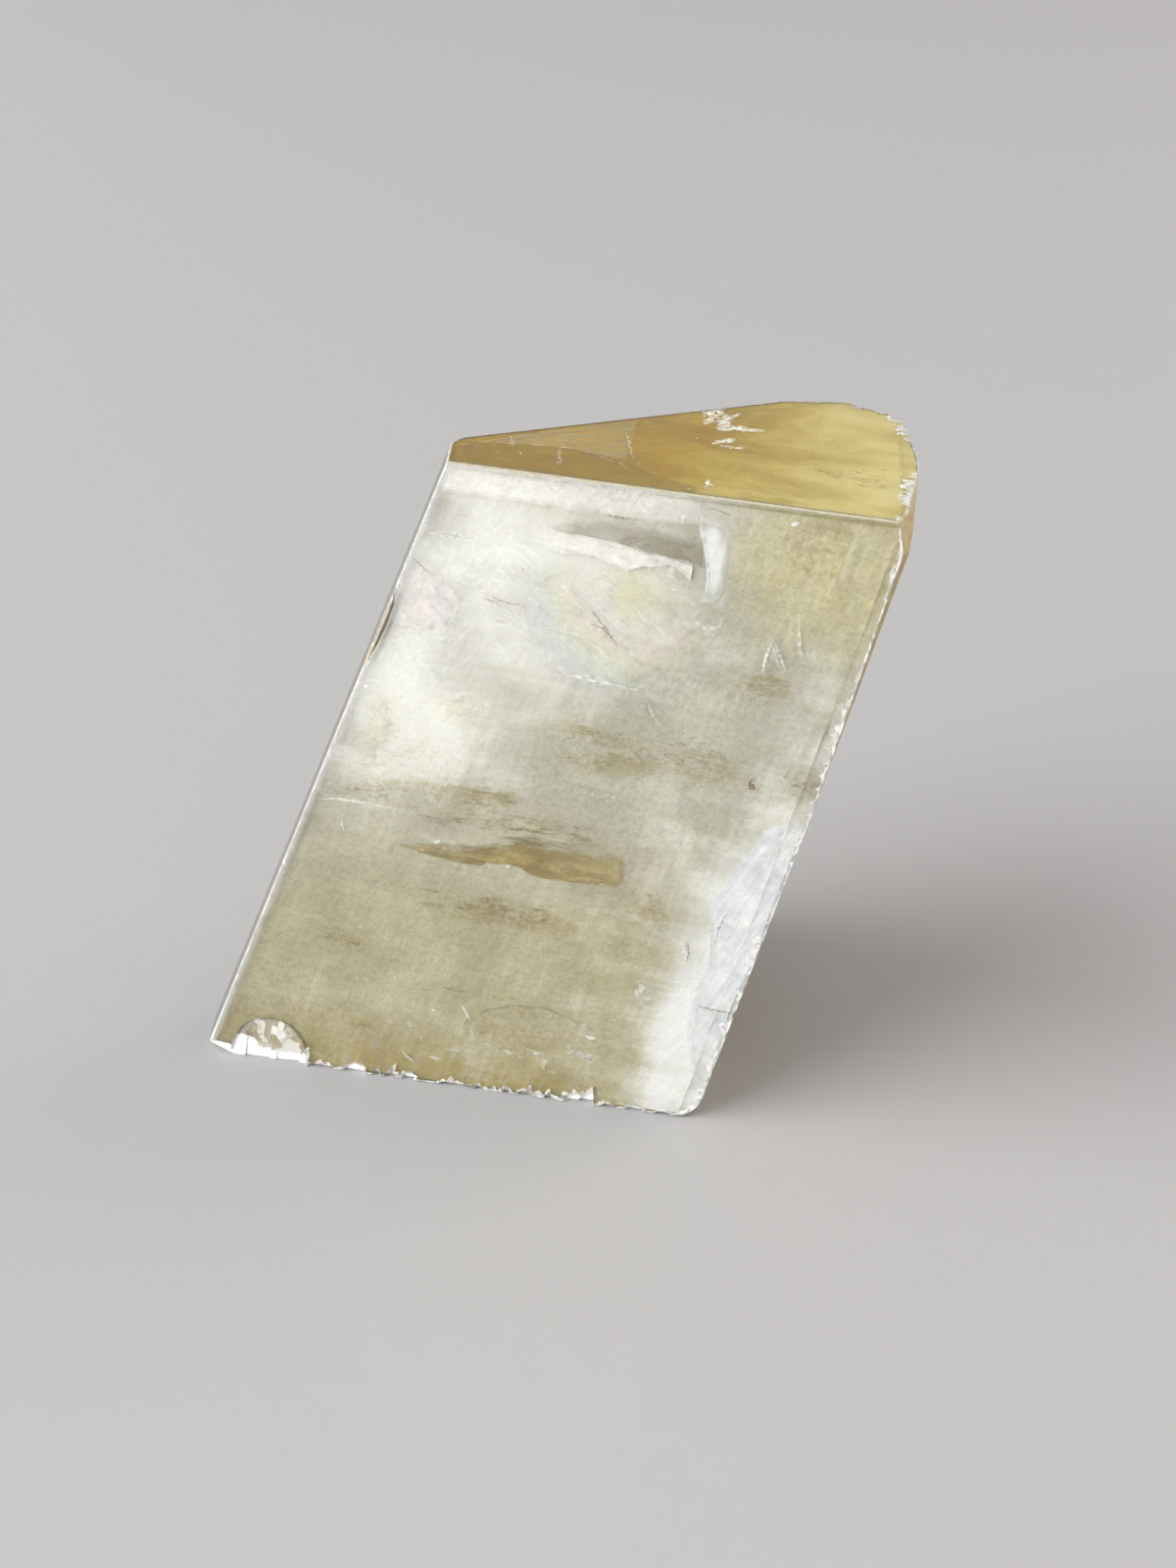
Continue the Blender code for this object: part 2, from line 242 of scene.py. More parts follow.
# noise between 0 and 1 at a place
def grain(vector, scale, detail=4.0, rough=0.6, twist=0.0):
    node = nodeFor("TexNoise", vector)
    feed(node, Vector=vector, Scale=scale, Detail=detail, Roughness=rough, Distortion=twist)
    return node.outputs[0]


# a smooth step from toLow, where the value is low, to toHigh, where it is high
def spread(value, low, high, toLow=0.0, toHigh=1.0):
    node = nodeFor("MapRange", value)
    node.interpolation_type = "SMOOTHSTEP"
    feed(node, Value=value, From_Min=low, From_Max=high, To_Min=toLow, To_Max=toHigh)
    return node.outputs[0]


# 1 at a place, falling to 0 at an ellipse round it
def spot(vector, x, up, reachX, reachUp, turnDeg=0.0):
    moved = vectorMath("SUBTRACT", vector, (x, up, 0.0))
    away = vectorMath("LENGTH", stretch(moved, (1.0 / reachX, 1.0 / reachUp, 0.0), turnDeg))
    return spread(away, 1.0, 0.0)


# a + share (b - a), for two colours
def blend(share, a, b):
    node = nodeFor("Mix", share)
    node.data_type = "RGBA"
    feedAt(node, 0, share)
    feedAt(node, 6, a)
    feedAt(node, 7, b)
    return node.outputs[2]


def bump(height, strength, distance):
    node = nodeFor("Bump", height)
    feed(node, Height=height, Strength=strength, Distance=distance)
    return node.outputs[0]


glass = {
    "ior": 1.58,
    "absorbColour": (0.95, 0.85, 0.12),
    "absorbDensity": 40.0,
    "bumpDistance": 0.0004,
    "white": (0.96, 0.96, 0.95),
}


# clear crystal: rough by streaks, clouded to a tone where the mask is 1, absorbing light inside
def crystal(name, rough, streakRough, bumpStrength, whiten, tone=glass["white"], tint=glass["white"], shine=0.5):
    material, tree, shader = newMaterial(name)
    where = attribute(tree)
    fine = grain(stretch(where, (1.2, 0.16, 1.2), 16.0), 1.4, 1.0, 0.62)
    broad = grain(where, 0.25, 2.0, 0.6)
    uneven = total(rough, swing(fine, streakRough), swing(broad, streakRough))
    height = total(times(fine, 0.5), broad)
    mask = whiten(where)
    base = blend(mask, tint(where) if callable(tint) else tint, tone)
    feed(shader, IOR=glass["ior"], Specular_IOR_Level=shine, Base_Color=base,
         Normal=bump(height, bumpStrength, glass["bumpDistance"]), Roughness=total(uneven, times(mask, 0.35)),
         Transmission_Weight=calc("SUBTRACT", 1.0, times(mask, 0.9)))
    absorb = tree.nodes.new("ShaderNodeVolumeAbsorption")
    feed(absorb, Color=glass["absorbColour"], Density=glass["absorbDensity"])
    tree.links.new(absorb.outputs[0], tree.nodes["Material Output"].inputs["Volume"])
    return material


# a whitening mask: noise at a scale, from one share to another between two noise values
def wear(scale, low, high, least, most, detail=4.0, twist=0.0):
    return lambda where: spread(grain(where, scale, detail, 0.62, twist), low, high, least, most)


# frosting on the floor of the corner chip: a white lower left part, a white foot and small square flecks
def chipFrost(where):
    up = parts(where)[1]
    cells = nodeFor("TexVoronoi", where)
    cells.distance = "CHEBYCHEV"
    feed(cells, Vector=stretch(where, (1.0, 1.0, 0.3), 12.0), Scale=0.55)
    fine = grain(stretch(where, (1.6, 0.8, 1.0), 30.0), 1.6, 5.0, 0.72, 0.3)
    blocks = total(spread(parts(cells.outputs["Color"])[0], 0.2, 0.9, 0.1, 0.6), swing(fine, 0.9))
    foot = spread(total(up, swing(fine, 2.2)), 1.5, 0.8, 0.0, 0.85)
    leftPart = times(spot(where, 2.6, 1.2, 3.0, 1.9), spread(fine, 0.3, 0.6, 0.4, 0.9))
    return calc("ADD", calc("MAXIMUM", blocks, foot), leftPart, True)


# the line that the painted light near the top starts from, mm up the face at x = 0 and its fall per mm; its
# strength
paintedLightRim = {"height": 59.56, "fall": 0.0524, "share": 0.32}


# a faint fine haze on the front, feathery and mottled, strongest at the upper left, with specks and a rim of
# painted light along the top and left edges that lifts the shade there
def frontFrost(where):
    mottle = grain(where, 1.7, 3.0, 0.74, 0.3)
    feather = grain(stretch(where, (2.6, 0.6, 0.5), 42.0), 1.0, 2.0, 0.72, 0.3)
    zone = total(0.05, times(spot(where, 26.0, 48.0, 26.0, 22.0), 0.06))
    haze = times(zone, total(spread(mottle, 0.46, 0.76), spread(feather, 0.5, 0.8)))
    specks = spread(grain(where, 2.6, 2.0, 0.6), 0.7, 0.73, 0.0, 0.6)
    x, up = parts(where)[:2]
    fromTop = total(paintedLightRim["height"], times(up, -1.0), times(x, -paintedLightRim["fall"]), swing(feather, 0.5))
    fromLeft = total(x, times(up, -leftSlope), swing(feather, 0.5))
    # painted light: a white band along the top and left edges of the front that lifts the shade inside them
    rim = calc("MAXIMUM", times(spread(fromTop, 1.1, 0.1), spread(x, 54.0, 40.0)), spread(fromLeft, 1.0, 0.1))
    return calc("ADD", calc("ADD", haze, specks), times(rim, paintedLightRim["share"]), True)


# fine fibrous mottling that dims the front in places
def frontTint(where):
    mottle = grain(stretch(where, (1.0, 1.4, 0.5), 10.0), 1.3, 3.0, 0.78, 0.4)
    fibres = grain(stretch(where, (1.8, 0.45, 0.5), 40.0), 1.0, 3.0, 0.72, 0.5)
    wisps = grain(stretch(where, (0.22, 0.9, 0.5), 6.0), 1.0, 4.0, 0.74, 0.9)
    fine = grain(stretch(where, (3.2, 2.4, 0.5), 25.0), 1.0, 1.0, 0.7, 0.2)
    dim = total(times(spread(mottle, 0.44, 0.68), 0.65), times(spread(fibres, 0.46, 0.68), 0.45),
                times(spread(wisps, 0.48, 0.7), 0.4), times(spread(fine, 0.45, 0.7), 0.4))
    clean = total(spot(where, 51.5, 13.0, 9.0, 27.0, 16.0), spot(where, 24.0, 47.0, 20.0, 20.0),
                  spot(where, 48.3, 53.5, 2.6, 6.5), times(spot(where, 38.0, 50.0, 13.0, 9.0), 0.5))
    dim = times(dim, spread(clean, 0.0, 0.6, 1.0, 0.4))
    return blend(dim, (0.995, 0.995, 1.0), (0.63, 0.62, 0.55))


# the top's frosting: specks, and the ragged star fractures that reach the surface, whitened as painted glints
def topFrost(where):
    x, up, depth = parts(where)
    flat = nodeFor("CombineXYZ", x)
    feed(flat, X=x, Y=depth)
    stars = total(*[spot(flat.outputs[0], *star) for star in topStarGlints])
    rays = grain(flat.outputs[0], 1.5, 5.0, 0.75, 1.2)
    specks = spread(grain(where, 1.7, 3.0, 0.6), 0.68, 0.72, 0.0, 0.4)
    return calc("ADD", specks, times(calc("MINIMUM", stars, 1.0), spread(rays, 0.48, 0.6, 0.0, 0.9)),
                True)


# x and depth, and reach of each, of the star fractures at the top, whitened as painted glints
topStarGlints = ((42.9, 24.2, 1.3, 1.9), (44.2, 22.3, 1.1, 2.2), (45.8, 20, 1.9, 1.3), (45.5, 15.9, 1.2, 0.9),
            (46.3, 3.5, 0.5, 0.9), (41.9, 23.4, 0.8, 0.8))


# worn bevels: white along the base and the right side of the front, clearer elsewhere
def edgeFrost(where):
    x, up = parts(where)[:2]
    fromRight = total(x, times(up, -rightSlope), -stone["frontWidth"])
    white = calc("MAXIMUM", spread(up, 2.6, 1.6, 0.45, 1.0), spread(fromRight, -2.2, -1.4, 0.45, 1.0))
    return times(spread(grain(where, 1.3, 4.0, 0.62), 0.42, 0.58, 0.3, 1.0), white)


# each kind of face: roughness, its streaks, bump strength, whitening, whitened tone, clear tint and shine
skinKinds = {
    "frontCalcite": (0.04, 0.05, 0.04, frontFrost, glass["white"], frontTint),
    "topCalcite": (0.08, 0.08, 0.1, topFrost),
    "brokenCalcite": (0.34, 0.2, 0.45, wear(0.16, 0.48, 0.72, 0.0, 0.4, 5.0, 0.8)),
    "freshFracture": (0.35, 0.15, 0.5, wear(1.4, 0.25, 0.5, 0.55, 1.0)),
    "wornEdge": (0.5, 0.15, 0.3, edgeFrost),
    "sideCalcite": (0.2, 0.15, 0.2, wear(0.1, 0.15, 0.85, 0.35, 0.65, 3.0, 1.0), (0.66, 0.57, 0.36)),
    "leftCalcite": (0.12, 0.06, 0.15, wear(1.1, 0.66, 0.72, 0.0, 0.6, 3.0)),
    "chipFloor": (0.16, 0.1, 0.3, chipFrost, (0.82, 0.83, 0.83)),
    "honeyBreak": (0.3, 0.15, 0.35, wear(0.7, 0.35, 0.65, 0.35, 0.85), (0.5, 0.42, 0.23),
                   (0.76, 0.56, 0.22)),
    # the bevels turned up and to the left: their tones are painted shade, dark olive and grey with little shine
    "topEdge": (0.5, 0.1, 0.3, wear(0.9, 0.35, 0.6, 0.75, 0.95), (0.34, 0.3, 0.18),
                glass["white"], 0.05),
    "leftEdge": (0.5, 0.1, 0.3, wear(0.9, 0.35, 0.6, 0.7, 0.95), (0.42, 0.41, 0.36),
                 glass["white"], 0.05),
}

skin = {}


# how the faces are told apart: places and half widths in mm, areas in square mm, facings as cosines
sorting = {
    "chipRight": 11.5,
    "chipTop": 5.0,
    "chipFacing": 0.8,
    "chipAreas": (0.3, 100.0),
    "flatFacing": 0.999,
    "flatArea": 10.0,
    "bevelHalfWidth": 0.14,
    "bevelForward": -0.3,
    "bevelTurned": 0.4,
    "sideFacing": 0.85,
    "leftArea": 20.0,
    "leftReach": 1.2,
    "leftBase": 6.0,
    "leftDepth": 8.0,
    "breakLeft": 60.0,
    "breakBase": 25.0,
    "breakDepth": 16.0,
    "sideArea": 50.0,
    "brokenArea": 16.0,
}


def kindOf(face):
    facing, area = np.array(face.normal), 1e6 * face.calc_area()
    x, up, depth = toPlace(np.array(face.calc_center_median()))
    least, most = sorting["chipAreas"]
    inChip = x < sorting["chipRight"] and up < sorting["chipTop"] and least < area < most
    if inChip and facing @ -inwards > sorting["chipFacing"]:
        return "chipFloor"
    if area > sorting["flatArea"]:
        if facing @ -inwards > sorting["flatFacing"]:
            return "frontCalcite"
        if facing @ topFacing > sorting["flatFacing"]:
            return "topCalcite"
    if area < sorting["bevelHalfWidth"] * 1000.0 * face.calc_perimeter():
        if facing[1] < sorting["bevelForward"] and max(-facing[0], facing[2]) > sorting["bevelTurned"]:
            # bevels turned up and to the left take the kinds with painted shade
            return "topEdge" if facing[2] > -facing[0] else "leftEdge"
        return "wornEdge"
    if facing[0] < -sorting["sideFacing"] and area > sorting["leftArea"]:
        return "leftCalcite"
    if x < leftEdge(up) + sorting["leftReach"] and up > sorting["leftBase"] and depth < sorting["leftDepth"]:
        return "leftCalcite"
    inBreak = x > sorting["breakLeft"] and up > sorting["breakBase"] and depth < sorting["breakDepth"]
    if inBreak and area < sorting["sideArea"]:
        return "honeyBreak"
    if facing[0] > sorting["sideFacing"] and area > sorting["sideArea"]:
        return "sideCalcite"
    return "brokenCalcite" if area > sorting["brokenArea"] else "freshFracture"


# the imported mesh, merged, with a material for each kind of face
def makeSkin():
    bm = bmesh.new()
    bm.from_mesh(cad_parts[stone["node"]].data)
    bmesh.ops.remove_doubles(bm, verts=bm.verts, dist=1e-6)
    bmesh.ops.dissolve_limit(bm, angle_limit=math.radians(0.3), verts=bm.verts, edges=bm.edges)
    bm.normal_update()
    names = list(skinKinds)
    counts = dict.fromkeys(names, 0)
    for face in bm.faces:
        kind = kindOf(face)
        face.material_index = names.index(kind)
        counts[kind] += 1
    for side, way in (("right", (1, 0, 0)), ("back", (-0.6, 0.8, 0))):
        near = [face for face in bm.faces if face.normal.dot(Vector(way)) > 0.8]
        largest = max(near, key=lambda face: face.calc_area())
        skin[side] = np.array(largest.calc_center_median()), np.array(largest.normal)
    mesh = bpy.data.meshes.new("stoneSkin")
    bm.to_mesh(mesh)
    bm.free()
    points = vertexPoints(mesh)
    addVectors(mesh, "place", toPlace(points))
    mesh.calc_loop_triangles()
    index = np.empty(len(mesh.loop_triangles) * 3, dtype=np.int32)
    mesh.loop_triangles.foreach_get("vertices", index)
    skin["triangles"] = points[index].reshape(-1, 3, 3)
    for name, look in skinKinds.items():
        mesh.materials.append(crystal(name, *look))
    piece = addObject("stoneSkin", mesh)
    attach(piece, "root")
    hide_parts(stone["node"])
    print("skin", counts)


# angles evenly round a circle, and the heading of each: cos a one + sin a two
def headingsRound(one, two, sides):
    a = np.linspace(0.0, 2 * np.pi, sides, endpoint=False)
    return a, np.cos(a)[:, None] * one + np.sin(a)[:, None] * two


# P(r, a) = middle + r R(a) (cos a one + sin a two) + ripples along the normal, R(a) the way to the skin
def innerSheet(name, middle, one, two, margin, ripple, seed, material, rings=40, sides=720):
    rng = seeded(seed)
    a, headings = headingsRound(one, two, sides)
    r = np.linspace(0.0005, 1.0, rings)[:, None]
    flat = (r * toSkin(middle, headings, margin))[..., None] * headings
    u, v = 90.0 * (flat @ one), 90.0 * (flat @ two)
    waves = sum(0.6**k * np.sin((k + 1) * u + rng.uniform(0, 6)) * np.cos((k + 1) * 0.9 * v + rng.uniform(0, 6))
                for k in range(5))
    lift = ripple * waves * (1.0 - r**4)
    points = middle + flat + lift[..., None] * np.cross(one, two)
    own = together(r, a / (2 * np.pi), 0.0)
    gridObject(name, points[None], own[None], material, ringed=True)


veil = {
    "depth": 1.15,
    "margin": 0.00009,
    "ripple": 0.00003,
    "warmWhite": (0.95, 0.96, 0.94),
    "coolWhite": (0.95, 0.97, 1.0),
    "khaki": (0.59, 0.55, 0.36),
    "grey": (0.66, 0.66, 0.57),
    "olive": (0.73, 0.68, 0.41),
    "gold": (0.51, 0.41, 0.14),
    "brown": (0.4, 0.3, 0.07),
    "shade": (0.45, 0.42, 0.32),
    # middle x and up, reach x and up, turn in degrees, how much whiter
    "whiteZones": ((24, 49, 24, 17, 0, 1.15), (16, 35, 22, 12, 0, 1.15), (39, 48, 14, 12, 0, 1),
                   (52, 13, 10, 27, 16, 1.35), (49, 4, 6, 7, 0, 0.6), (57, 38, 7, 12, 16, 0.5),
                   (47, 24, 8, 9, 0, 0.4), (39, 8, 8, 5, 0, 0.35), (37, 35, 10, 5, 0, -0.3)),
    # middle x and up, reach x and up, turn in degrees of each brownish cloud
    "brownZones": ((23, 28.4, 13, 2.2, 0), (46.8, 35, 7, 2.8, 14), (38, 34.6, 8, 3, 8), (28, 18, 9, 2, 0),
                   (34, 17.2, 5, 1.4, 4), (14, 13.2, 3.4, 1.4, 10), (32.5, 6.5, 8, 3, 0), (44.5, 20, 3, 1.6, 0),
                   (58, 33.4, 3, 2.2, 20), (53, 42, 4.5, 2.2, 0), (58, 55, 4.5, 4, 0), (10, 4, 14, 3.6, 0)),
}


def veilMaterial():
    material, tree, shader = newMaterial("milkyVeil")
    where = attribute(tree)
    x, up = parts(where)[:2]
    cloud = grain(stretch(where, (0.12, 0.08, 0.1), 10.0), 1.0, 3.0, 0.6, 0.6)
    wisps = grain(stretch(where, (0.08, 0.36, 0.1), 4.0), 1.0, 4.0, 0.68, 0.5)
    brush = grain(stretch(where, (1.5, 0.12, 0.3), 16.0), 1.0, 2.0, 0.65)
    mottle = grain(where, 1.6, 2.0, 0.72, 0.3)
    upperRight = spot(where, 60.0, 54.0, 19.0, 15.0)
    white = total(-0.02, swing(cloud, 1.0), swing(wisps, 1.3), swing(brush, 0.5),
                  swing(mottle, 0.6), *[times(spot(where, *zone[:5]), zone[5])
                                              for zone in veil["whiteZones"]])
    base = blend(spread(up, 14.0, 32.0), veil["khaki"], veil["grey"])
    base = blend(spread(total(upperRight, swing(brush, 0.8)), 0.1, 0.8), base, veil["olive"])
    low = total(up, swing(cloud, 6.0), swing(wisps, 3.0), times(spread(x, 30.0, 50.0), 5.0))
    base = blend(spread(low, 6.0, 1.0), base, veil["gold"])
    cool = spread(total(x, times(up, -0.75), swing(cloud, 10.0)), 22.0, 42.0)
    colour = blend(cool, veil["warmWhite"], veil["coolWhite"])
    colour = blend(spread(white, -0.1, 1.0), base, colour)
    stained = total(*[spot(where, *zone) for zone in veil["brownZones"]])
    patchy = spread(total(wisps, swing(mottle, 0.5)), 0.4, 0.6)
    colour = blend(times(times(spread(stained, 0.0, 0.45), patchy), 0.6), colour, veil["brown"])
    dimmer = times(spread(mottle, 0.4, 0.72, 0.0, 0.34), spread(white, 0.2, 0.9, 1.0, 0.15))
    colour = blend(dimmer, colour, veil["shade"])
    feather = grain(stretch(where, (0.75, 0.22, 0.3), 40.0), 1.0, 3.0, 0.68, 0.4)
    colour = blend(spread(feather, 0.46, 0.72, 0.0, 0.24), colour, veil["grey"])
    brushed = times(spread(brush, 0.45, 0.75), total(0.1, times(upperRight, 0.35)))
    colour = blend(brushed, colour, veil["warmWhite"])
    alpha = spread(total(cloud, swing(wisps, 0.6)), 0.35, 0.6, 0.84, 0.98)
    feed(shader, Base_Color=colour, Alpha=alpha, Roughness=0.35)
    return material


# honey wisps under the right and back faces
def honeyWisps():
    material, tree, shader = newMaterial("honeyWisps")
    where = attribute(tree)
    cloud = grain(where, 0.12, 4.0, 0.6, 0.6)
    fine = grain(stretch(where, (0.12, 0.3, 0.12), 4.0), 1.0, 5.0, 0.66, 0.4)
    colour = blend(spread(total(cloud, swing(fine, 0.6)), 0.35, 0.65),
                   (0.8, 0.65, 0.26), (0.94, 0.91, 0.74))
    alpha = spread(total(cloud, swing(fine, 1.2)), 0.3, 0.8, 0.3, 0.75)
    feed(shader, Base_Color=colour, Alpha=alpha, Roughness=0.4)
    return material


def makeVeils():
    innerSheet("milkyVeil", onFront(*stone["frontMiddle"], veil["depth"]), across, upFront,
               veil["margin"], veil["ripple"], 3, veilMaterial())
    wispy = honeyWisps()
    for number, (side, depth) in enumerate((("right", 0.0016), ("back", 0.0018))):
        centre, facing = skin[side]
        level = np.cross((0.0, 0.0, 1.0), facing)
        level /= np.linalg.norm(level)
        innerSheet(side + "Wisps", centre - depth * facing, level, np.cross(facing, level), 0.00015, 0.00015,
                   5 + number, wispy)
    print("veils made")


# points along a list of corners, evenly spaced by distance
def along(cornersList, count):
    corners = np.array(cornersList, dtype=float)
    steps = np.concatenate([[0.0], np.cumsum(np.linalg.norm(np.diff(corners, axis=0), axis=1))])
    at = np.linspace(0.0, steps[-1], count)
    return np.stack([np.interp(at, steps, corners[:, k]) for k in range(corners.shape[1])], axis=-1)


# rough noise along a line: halving waves of growing number with seeded phases
def ragged(rng, count, size):
    at = np.linspace(0.0, 1.0, count)
    waves = 2.0 ** np.arange(2, 7)
    phases = rng.uniform(0, 2 * np.pi, waves.size)
    return size * (np.sin(2 * np.pi * waves[:, None] * at + phases[:, None]) / waves[:, None] ** 0.7).sum(axis=0)


# P(s, t) = lower(s) + t (upper(s) - lower(s)), both edges ragged, at a depth that runs from d0 to d1
def band(name, lower, upper, depths, jag, seed, material, rows=14, columns=160, place=onFront):
    rng = seeded(seed)
    low, high = along(lower, columns), along(upper, columns)
    low[:, 1] += ragged(rng, columns, jag)
    high[:, 1] += ragged(rng, columns, jag)
    t = np.linspace(0.0, 1.0, rows)[:, None]
    flat = low[None] * (1.0 - t[..., None]) + high[None] * t[..., None]
    deep = depths[0] + (depths[1] - depths[0]) * t + 0.0 * flat[..., 0]
    s = np.linspace(0.0, 1.0, columns)[None, :]
    own = together(s, t, 0.0)
    gridObject(name, place(flat[..., 0], flat[..., 1], deep)[None], own[None], material)


# P(s, t) = path(s) + (t - 0.5) width(s) across the path, the width thin at both ends
def crackSheet(name, paths, width, depths, jag, seed, material, place=onFront, columns=60, rows=4):
    rng = seeded(seed)
    grids, owns = [], []
    for number, path in enumerate(paths):
        line = along(path, columns)
        heading = np.gradient(line, axis=0)
        heading /= np.linalg.norm(heading, axis=1)[:, None]
        side = np.stack([-heading[:, 1], heading[:, 0]], axis=1)
        line = line + side * ragged(rng, columns, jag)[:, None]
        s = np.linspace(0.0, 1.0, columns)
        wide = width * (0.25 + 0.75 * np.sin(np.pi * s)) * (1.0 + 0.5 * np.sin(37.0 * s + rng.uniform(0, 6)))
        t = np.linspace(-0.5, 0.5, rows)[:, None]
        flat = line[None] + (t * wide)[..., None] * side[None]
        grids.append(place(flat[..., 0], flat[..., 1], depths[0] + (depths[1] - depths[0]) * (t + 0.5)))
        owns.append(together(s[None], t + 0.5, float(number)))
    gridObject(name, np.stack(grids), np.stack(owns), material)


# flecks, one for each row of centre, half width w, half height h and turn:
# P(r, a) = centre + r (1 + jag waves(a)) (w cos a, h sin a) turned, at its own depth and tilt
def fleckSheet(name, flecks, depths, jag, seed, material, place=onFront, rings=4, sides=24):
    rng = seeded(seed)
    flecks = np.array(flecks, dtype=float)
    centreX, centreY, wide, high, turns = (flecks[:, k, None, None] for k in range(5))
    a = np.linspace(0.0, 2 * np.pi, sides, endpoint=False)
    waves = np.arange(2, 8)
    phases = rng.uniform(0, 2 * np.pi, (len(flecks), waves.size))
    edge = 1.0 + jag * (np.cos(waves * a[:, None] + phases[:, None, :]) / waves).sum(axis=-1)
    r = np.linspace(0.002, 1.0, rings)[None, :, None]
    u = r * (edge * np.cos(a))[:, None, :]
    v = r * (edge * np.sin(a))[:, None, :]
    x = centreX + wide * u * np.cos(turns) - high * v * np.sin(turns)
    y = centreY + wide * u * np.sin(turns) + high * v * np.cos(turns)
    tilt = rng.uniform(-0.08, 0.08, (len(flecks), 1, 1))
    deep = np.maximum(np.reshape(depths, (-1, 1, 1)) + tilt * wide * u, 0.04)
    chance = rng.uniform(0, 1, (len(flecks), 1, 1))
    own = together(r + 0.0 * u, a[None, None, :], chance)
    gridObject(name, place(x, y, deep), own, material, ringed=True)


# a film: alpha broken up by noise and faded at its rim; a second colour, where given, follows the noise
def filmMaterial(name, colour, alpha, noiseScale, contrast=0.5, rough=0.4, fade=0.0, second=None, turnDeg=4.0):
    material, tree, shader = newMaterial(name)
    cloud = grain(stretch(attribute(tree), noiseScale, turnDeg), 1.0, 2.0, 0.65, 0.4)
    body = total(alpha, swing(cloud, 2.0 * contrast))
    if fade > 0.0:
        body = times(body, spread(parts(attribute(tree, "own"))[0], 1.0, 1.0 - fade))
    tone = colour if second is None else blend(spread(cloud, 0.35, 0.65), colour, second)
    feed(shader, Base_Color=tone, Alpha=calc("MINIMUM", calc("MAXIMUM", body, 0.0), 1.0), Roughness=rough)
    return material


# a sheet's colour and roughness, and alpha = body times fade, held between 0 and 1
def cover(shader, colour, rough, body, fade):
    feed(shader, Base_Color=colour, Roughness=rough, Alpha=calc("MULTIPLY", body, fade, True))


# rows for fleckSheet, random round middles: x, up, reach x, reach up, how many, longest half length, turn;
# half heights from thin to wide, plus swell times the half length
def scatter(rng, groups, thin, wide, swell=0.0, turnSwing=0.07):
    rows = []
    for x, up, reachX, reachUp, count, longest, turn in groups:
        centres = rng.normal((x, up), (0.55 * reachX, 0.55 * reachUp), (count, 2))
        length = longest * rng.uniform(0.15, 1.0, count) ** 1.5
        high = rng.uniform(thin, wide, count) + swell * length
        rows.append(np.column_stack([centres, length, high, rng.normal(turn, turnSwing, count)]))
    flecks = np.concatenate(rows)
    x, up, length, high, turns = flecks.T
    room = 0.6 + length * np.abs(np.cos(turns))
    kept = (x > leftEdge(up) + room) & (x < rightEdge(up) - room) & (up > 1.2 + length * np.abs(np.sin(turns)))
    kept &= (up < 57.0 - length) & ((x > 12.0 + room) | (up > 6.5))
    return flecks[kept]


iron = {
    "lower": ((18.5, 23.5), (21.4, 22.9), (23.5, 22.6), (25.2, 22.3), (27.5, 22.3), (28, 22.7), (31.2, 22.6),
              (32.5, 21.9), (35, 21.7), (40.5, 21.7), (41.9, 22.3)),
    "upper": ((18.5, 23.6), (23, 24.1), (25.9, 24.4), (28.1, 24.4), (28.4, 25.2), (30.3, 25.6), (33.9, 26),
              (37.1, 26), (39.5, 25.7), (41.8, 24.9)),
    "brown": (0.34, 0.24, 0.03),
    "pale": (0.6, 0.49, 0.2),
    "streak": (0.38, 0.24, 0.02),
    "paleStreak": (0.55, 0.42, 0.11),
    # x, up, reach x, reach up, count, longest half length and turn of each group of streaks
    "streaks": ((31, 26.6, 8, 0.9, 90, 2, 0), (26, 28.9, 5, 1, 60, 1.4, -0.05),
                (29.5, 29, 1.2, 0.8, 22, 0.9, -0.1), (29, 18.2, 6, 1, 60, 1.8, -0.05),
                (34, 17.2, 3, 0.8, 40, 1, -0.1), (25, 17.9, 5, 0.15, 14, 1.8, -0.02),
                (21, 19.3, 4, 0.1, 8, 1.8, 0.02), (14.2, 13.4, 2.2, 0.7, 22, 1.2, -0.2),
                (24, 9.5, 6, 1.2, 16, 1.2, -0.05), (46.6, 34.9, 3.6, 1.6, 70, 1.2, -0.25),
                (40, 33.6, 4.5, 1, 40, 1.5, -0.1), (38, 36.2, 4, 1, 24, 1.4, -0.1),
                (57.8, 33.4, 1.4, 1.2, 30, 0.9, -0.35), (44.3, 20.6, 1.2, 1.4, 24, 0.5, -0.2),
                (16, 28.4, 3.5, 0.9, 26, 1.4, -0.05), (20, 45.5, 0.8, 0.1, 3, 0.5, 0),
                (40, 12, 5, 1.5, 12, 1.1, 0.2), (53, 42, 2.4, 1.4, 26, 0.9, -0.1)),
}


def makeIron():
    material, tree, shader = newMaterial("ironFilm")
    where = attribute(tree)
    s, t = parts(attribute(tree, "own"))[:2]
    cloud = grain(stretch(where, (0.3, 1.3, 0.5), 2.0), 1.0, 6.0, 0.68, 0.4)
    strong = spot(where, 30.5, 23.9, 6.5, 3.2)
    body = total(0.74, times(strong, 0.25), swing(cloud, 0.9))
    top = spread(total(t, swing(cloud, 1.6)), 1.05, 0.45, 0.0, 1.0)
    ends = times(spread(s, 0.0, 0.12), spread(s, 1.0, 0.95))
    paler = total(spread(cloud, 0.4, 0.75), spread(s, 0.6, 0.95, 0.0, 0.7))
    cover(shader, blend(paler, iron["brown"], iron["pale"]), 0.4, body, times(top, ends))
    band("ironFilm", iron["lower"], iron["upper"], (0.75, 0.85), 0.07, 11, material, rows=24, columns=260)

    rng = seeded(21)
    streaks = scatter(rng, iron["streaks"], 0.05, 0.18, 0.06)
    brown = filmMaterial("brownStreaks", iron["streak"], 0.27, (0.9, 2.2, 0.5), 0.7, 0.5, 1.0,
                         iron["paleStreak"])
    fleckSheet("brownStreaks", streaks, rng.uniform(0.45, 0.95, len(streaks)), 0.45, 22, brown)
    print("iron films made")


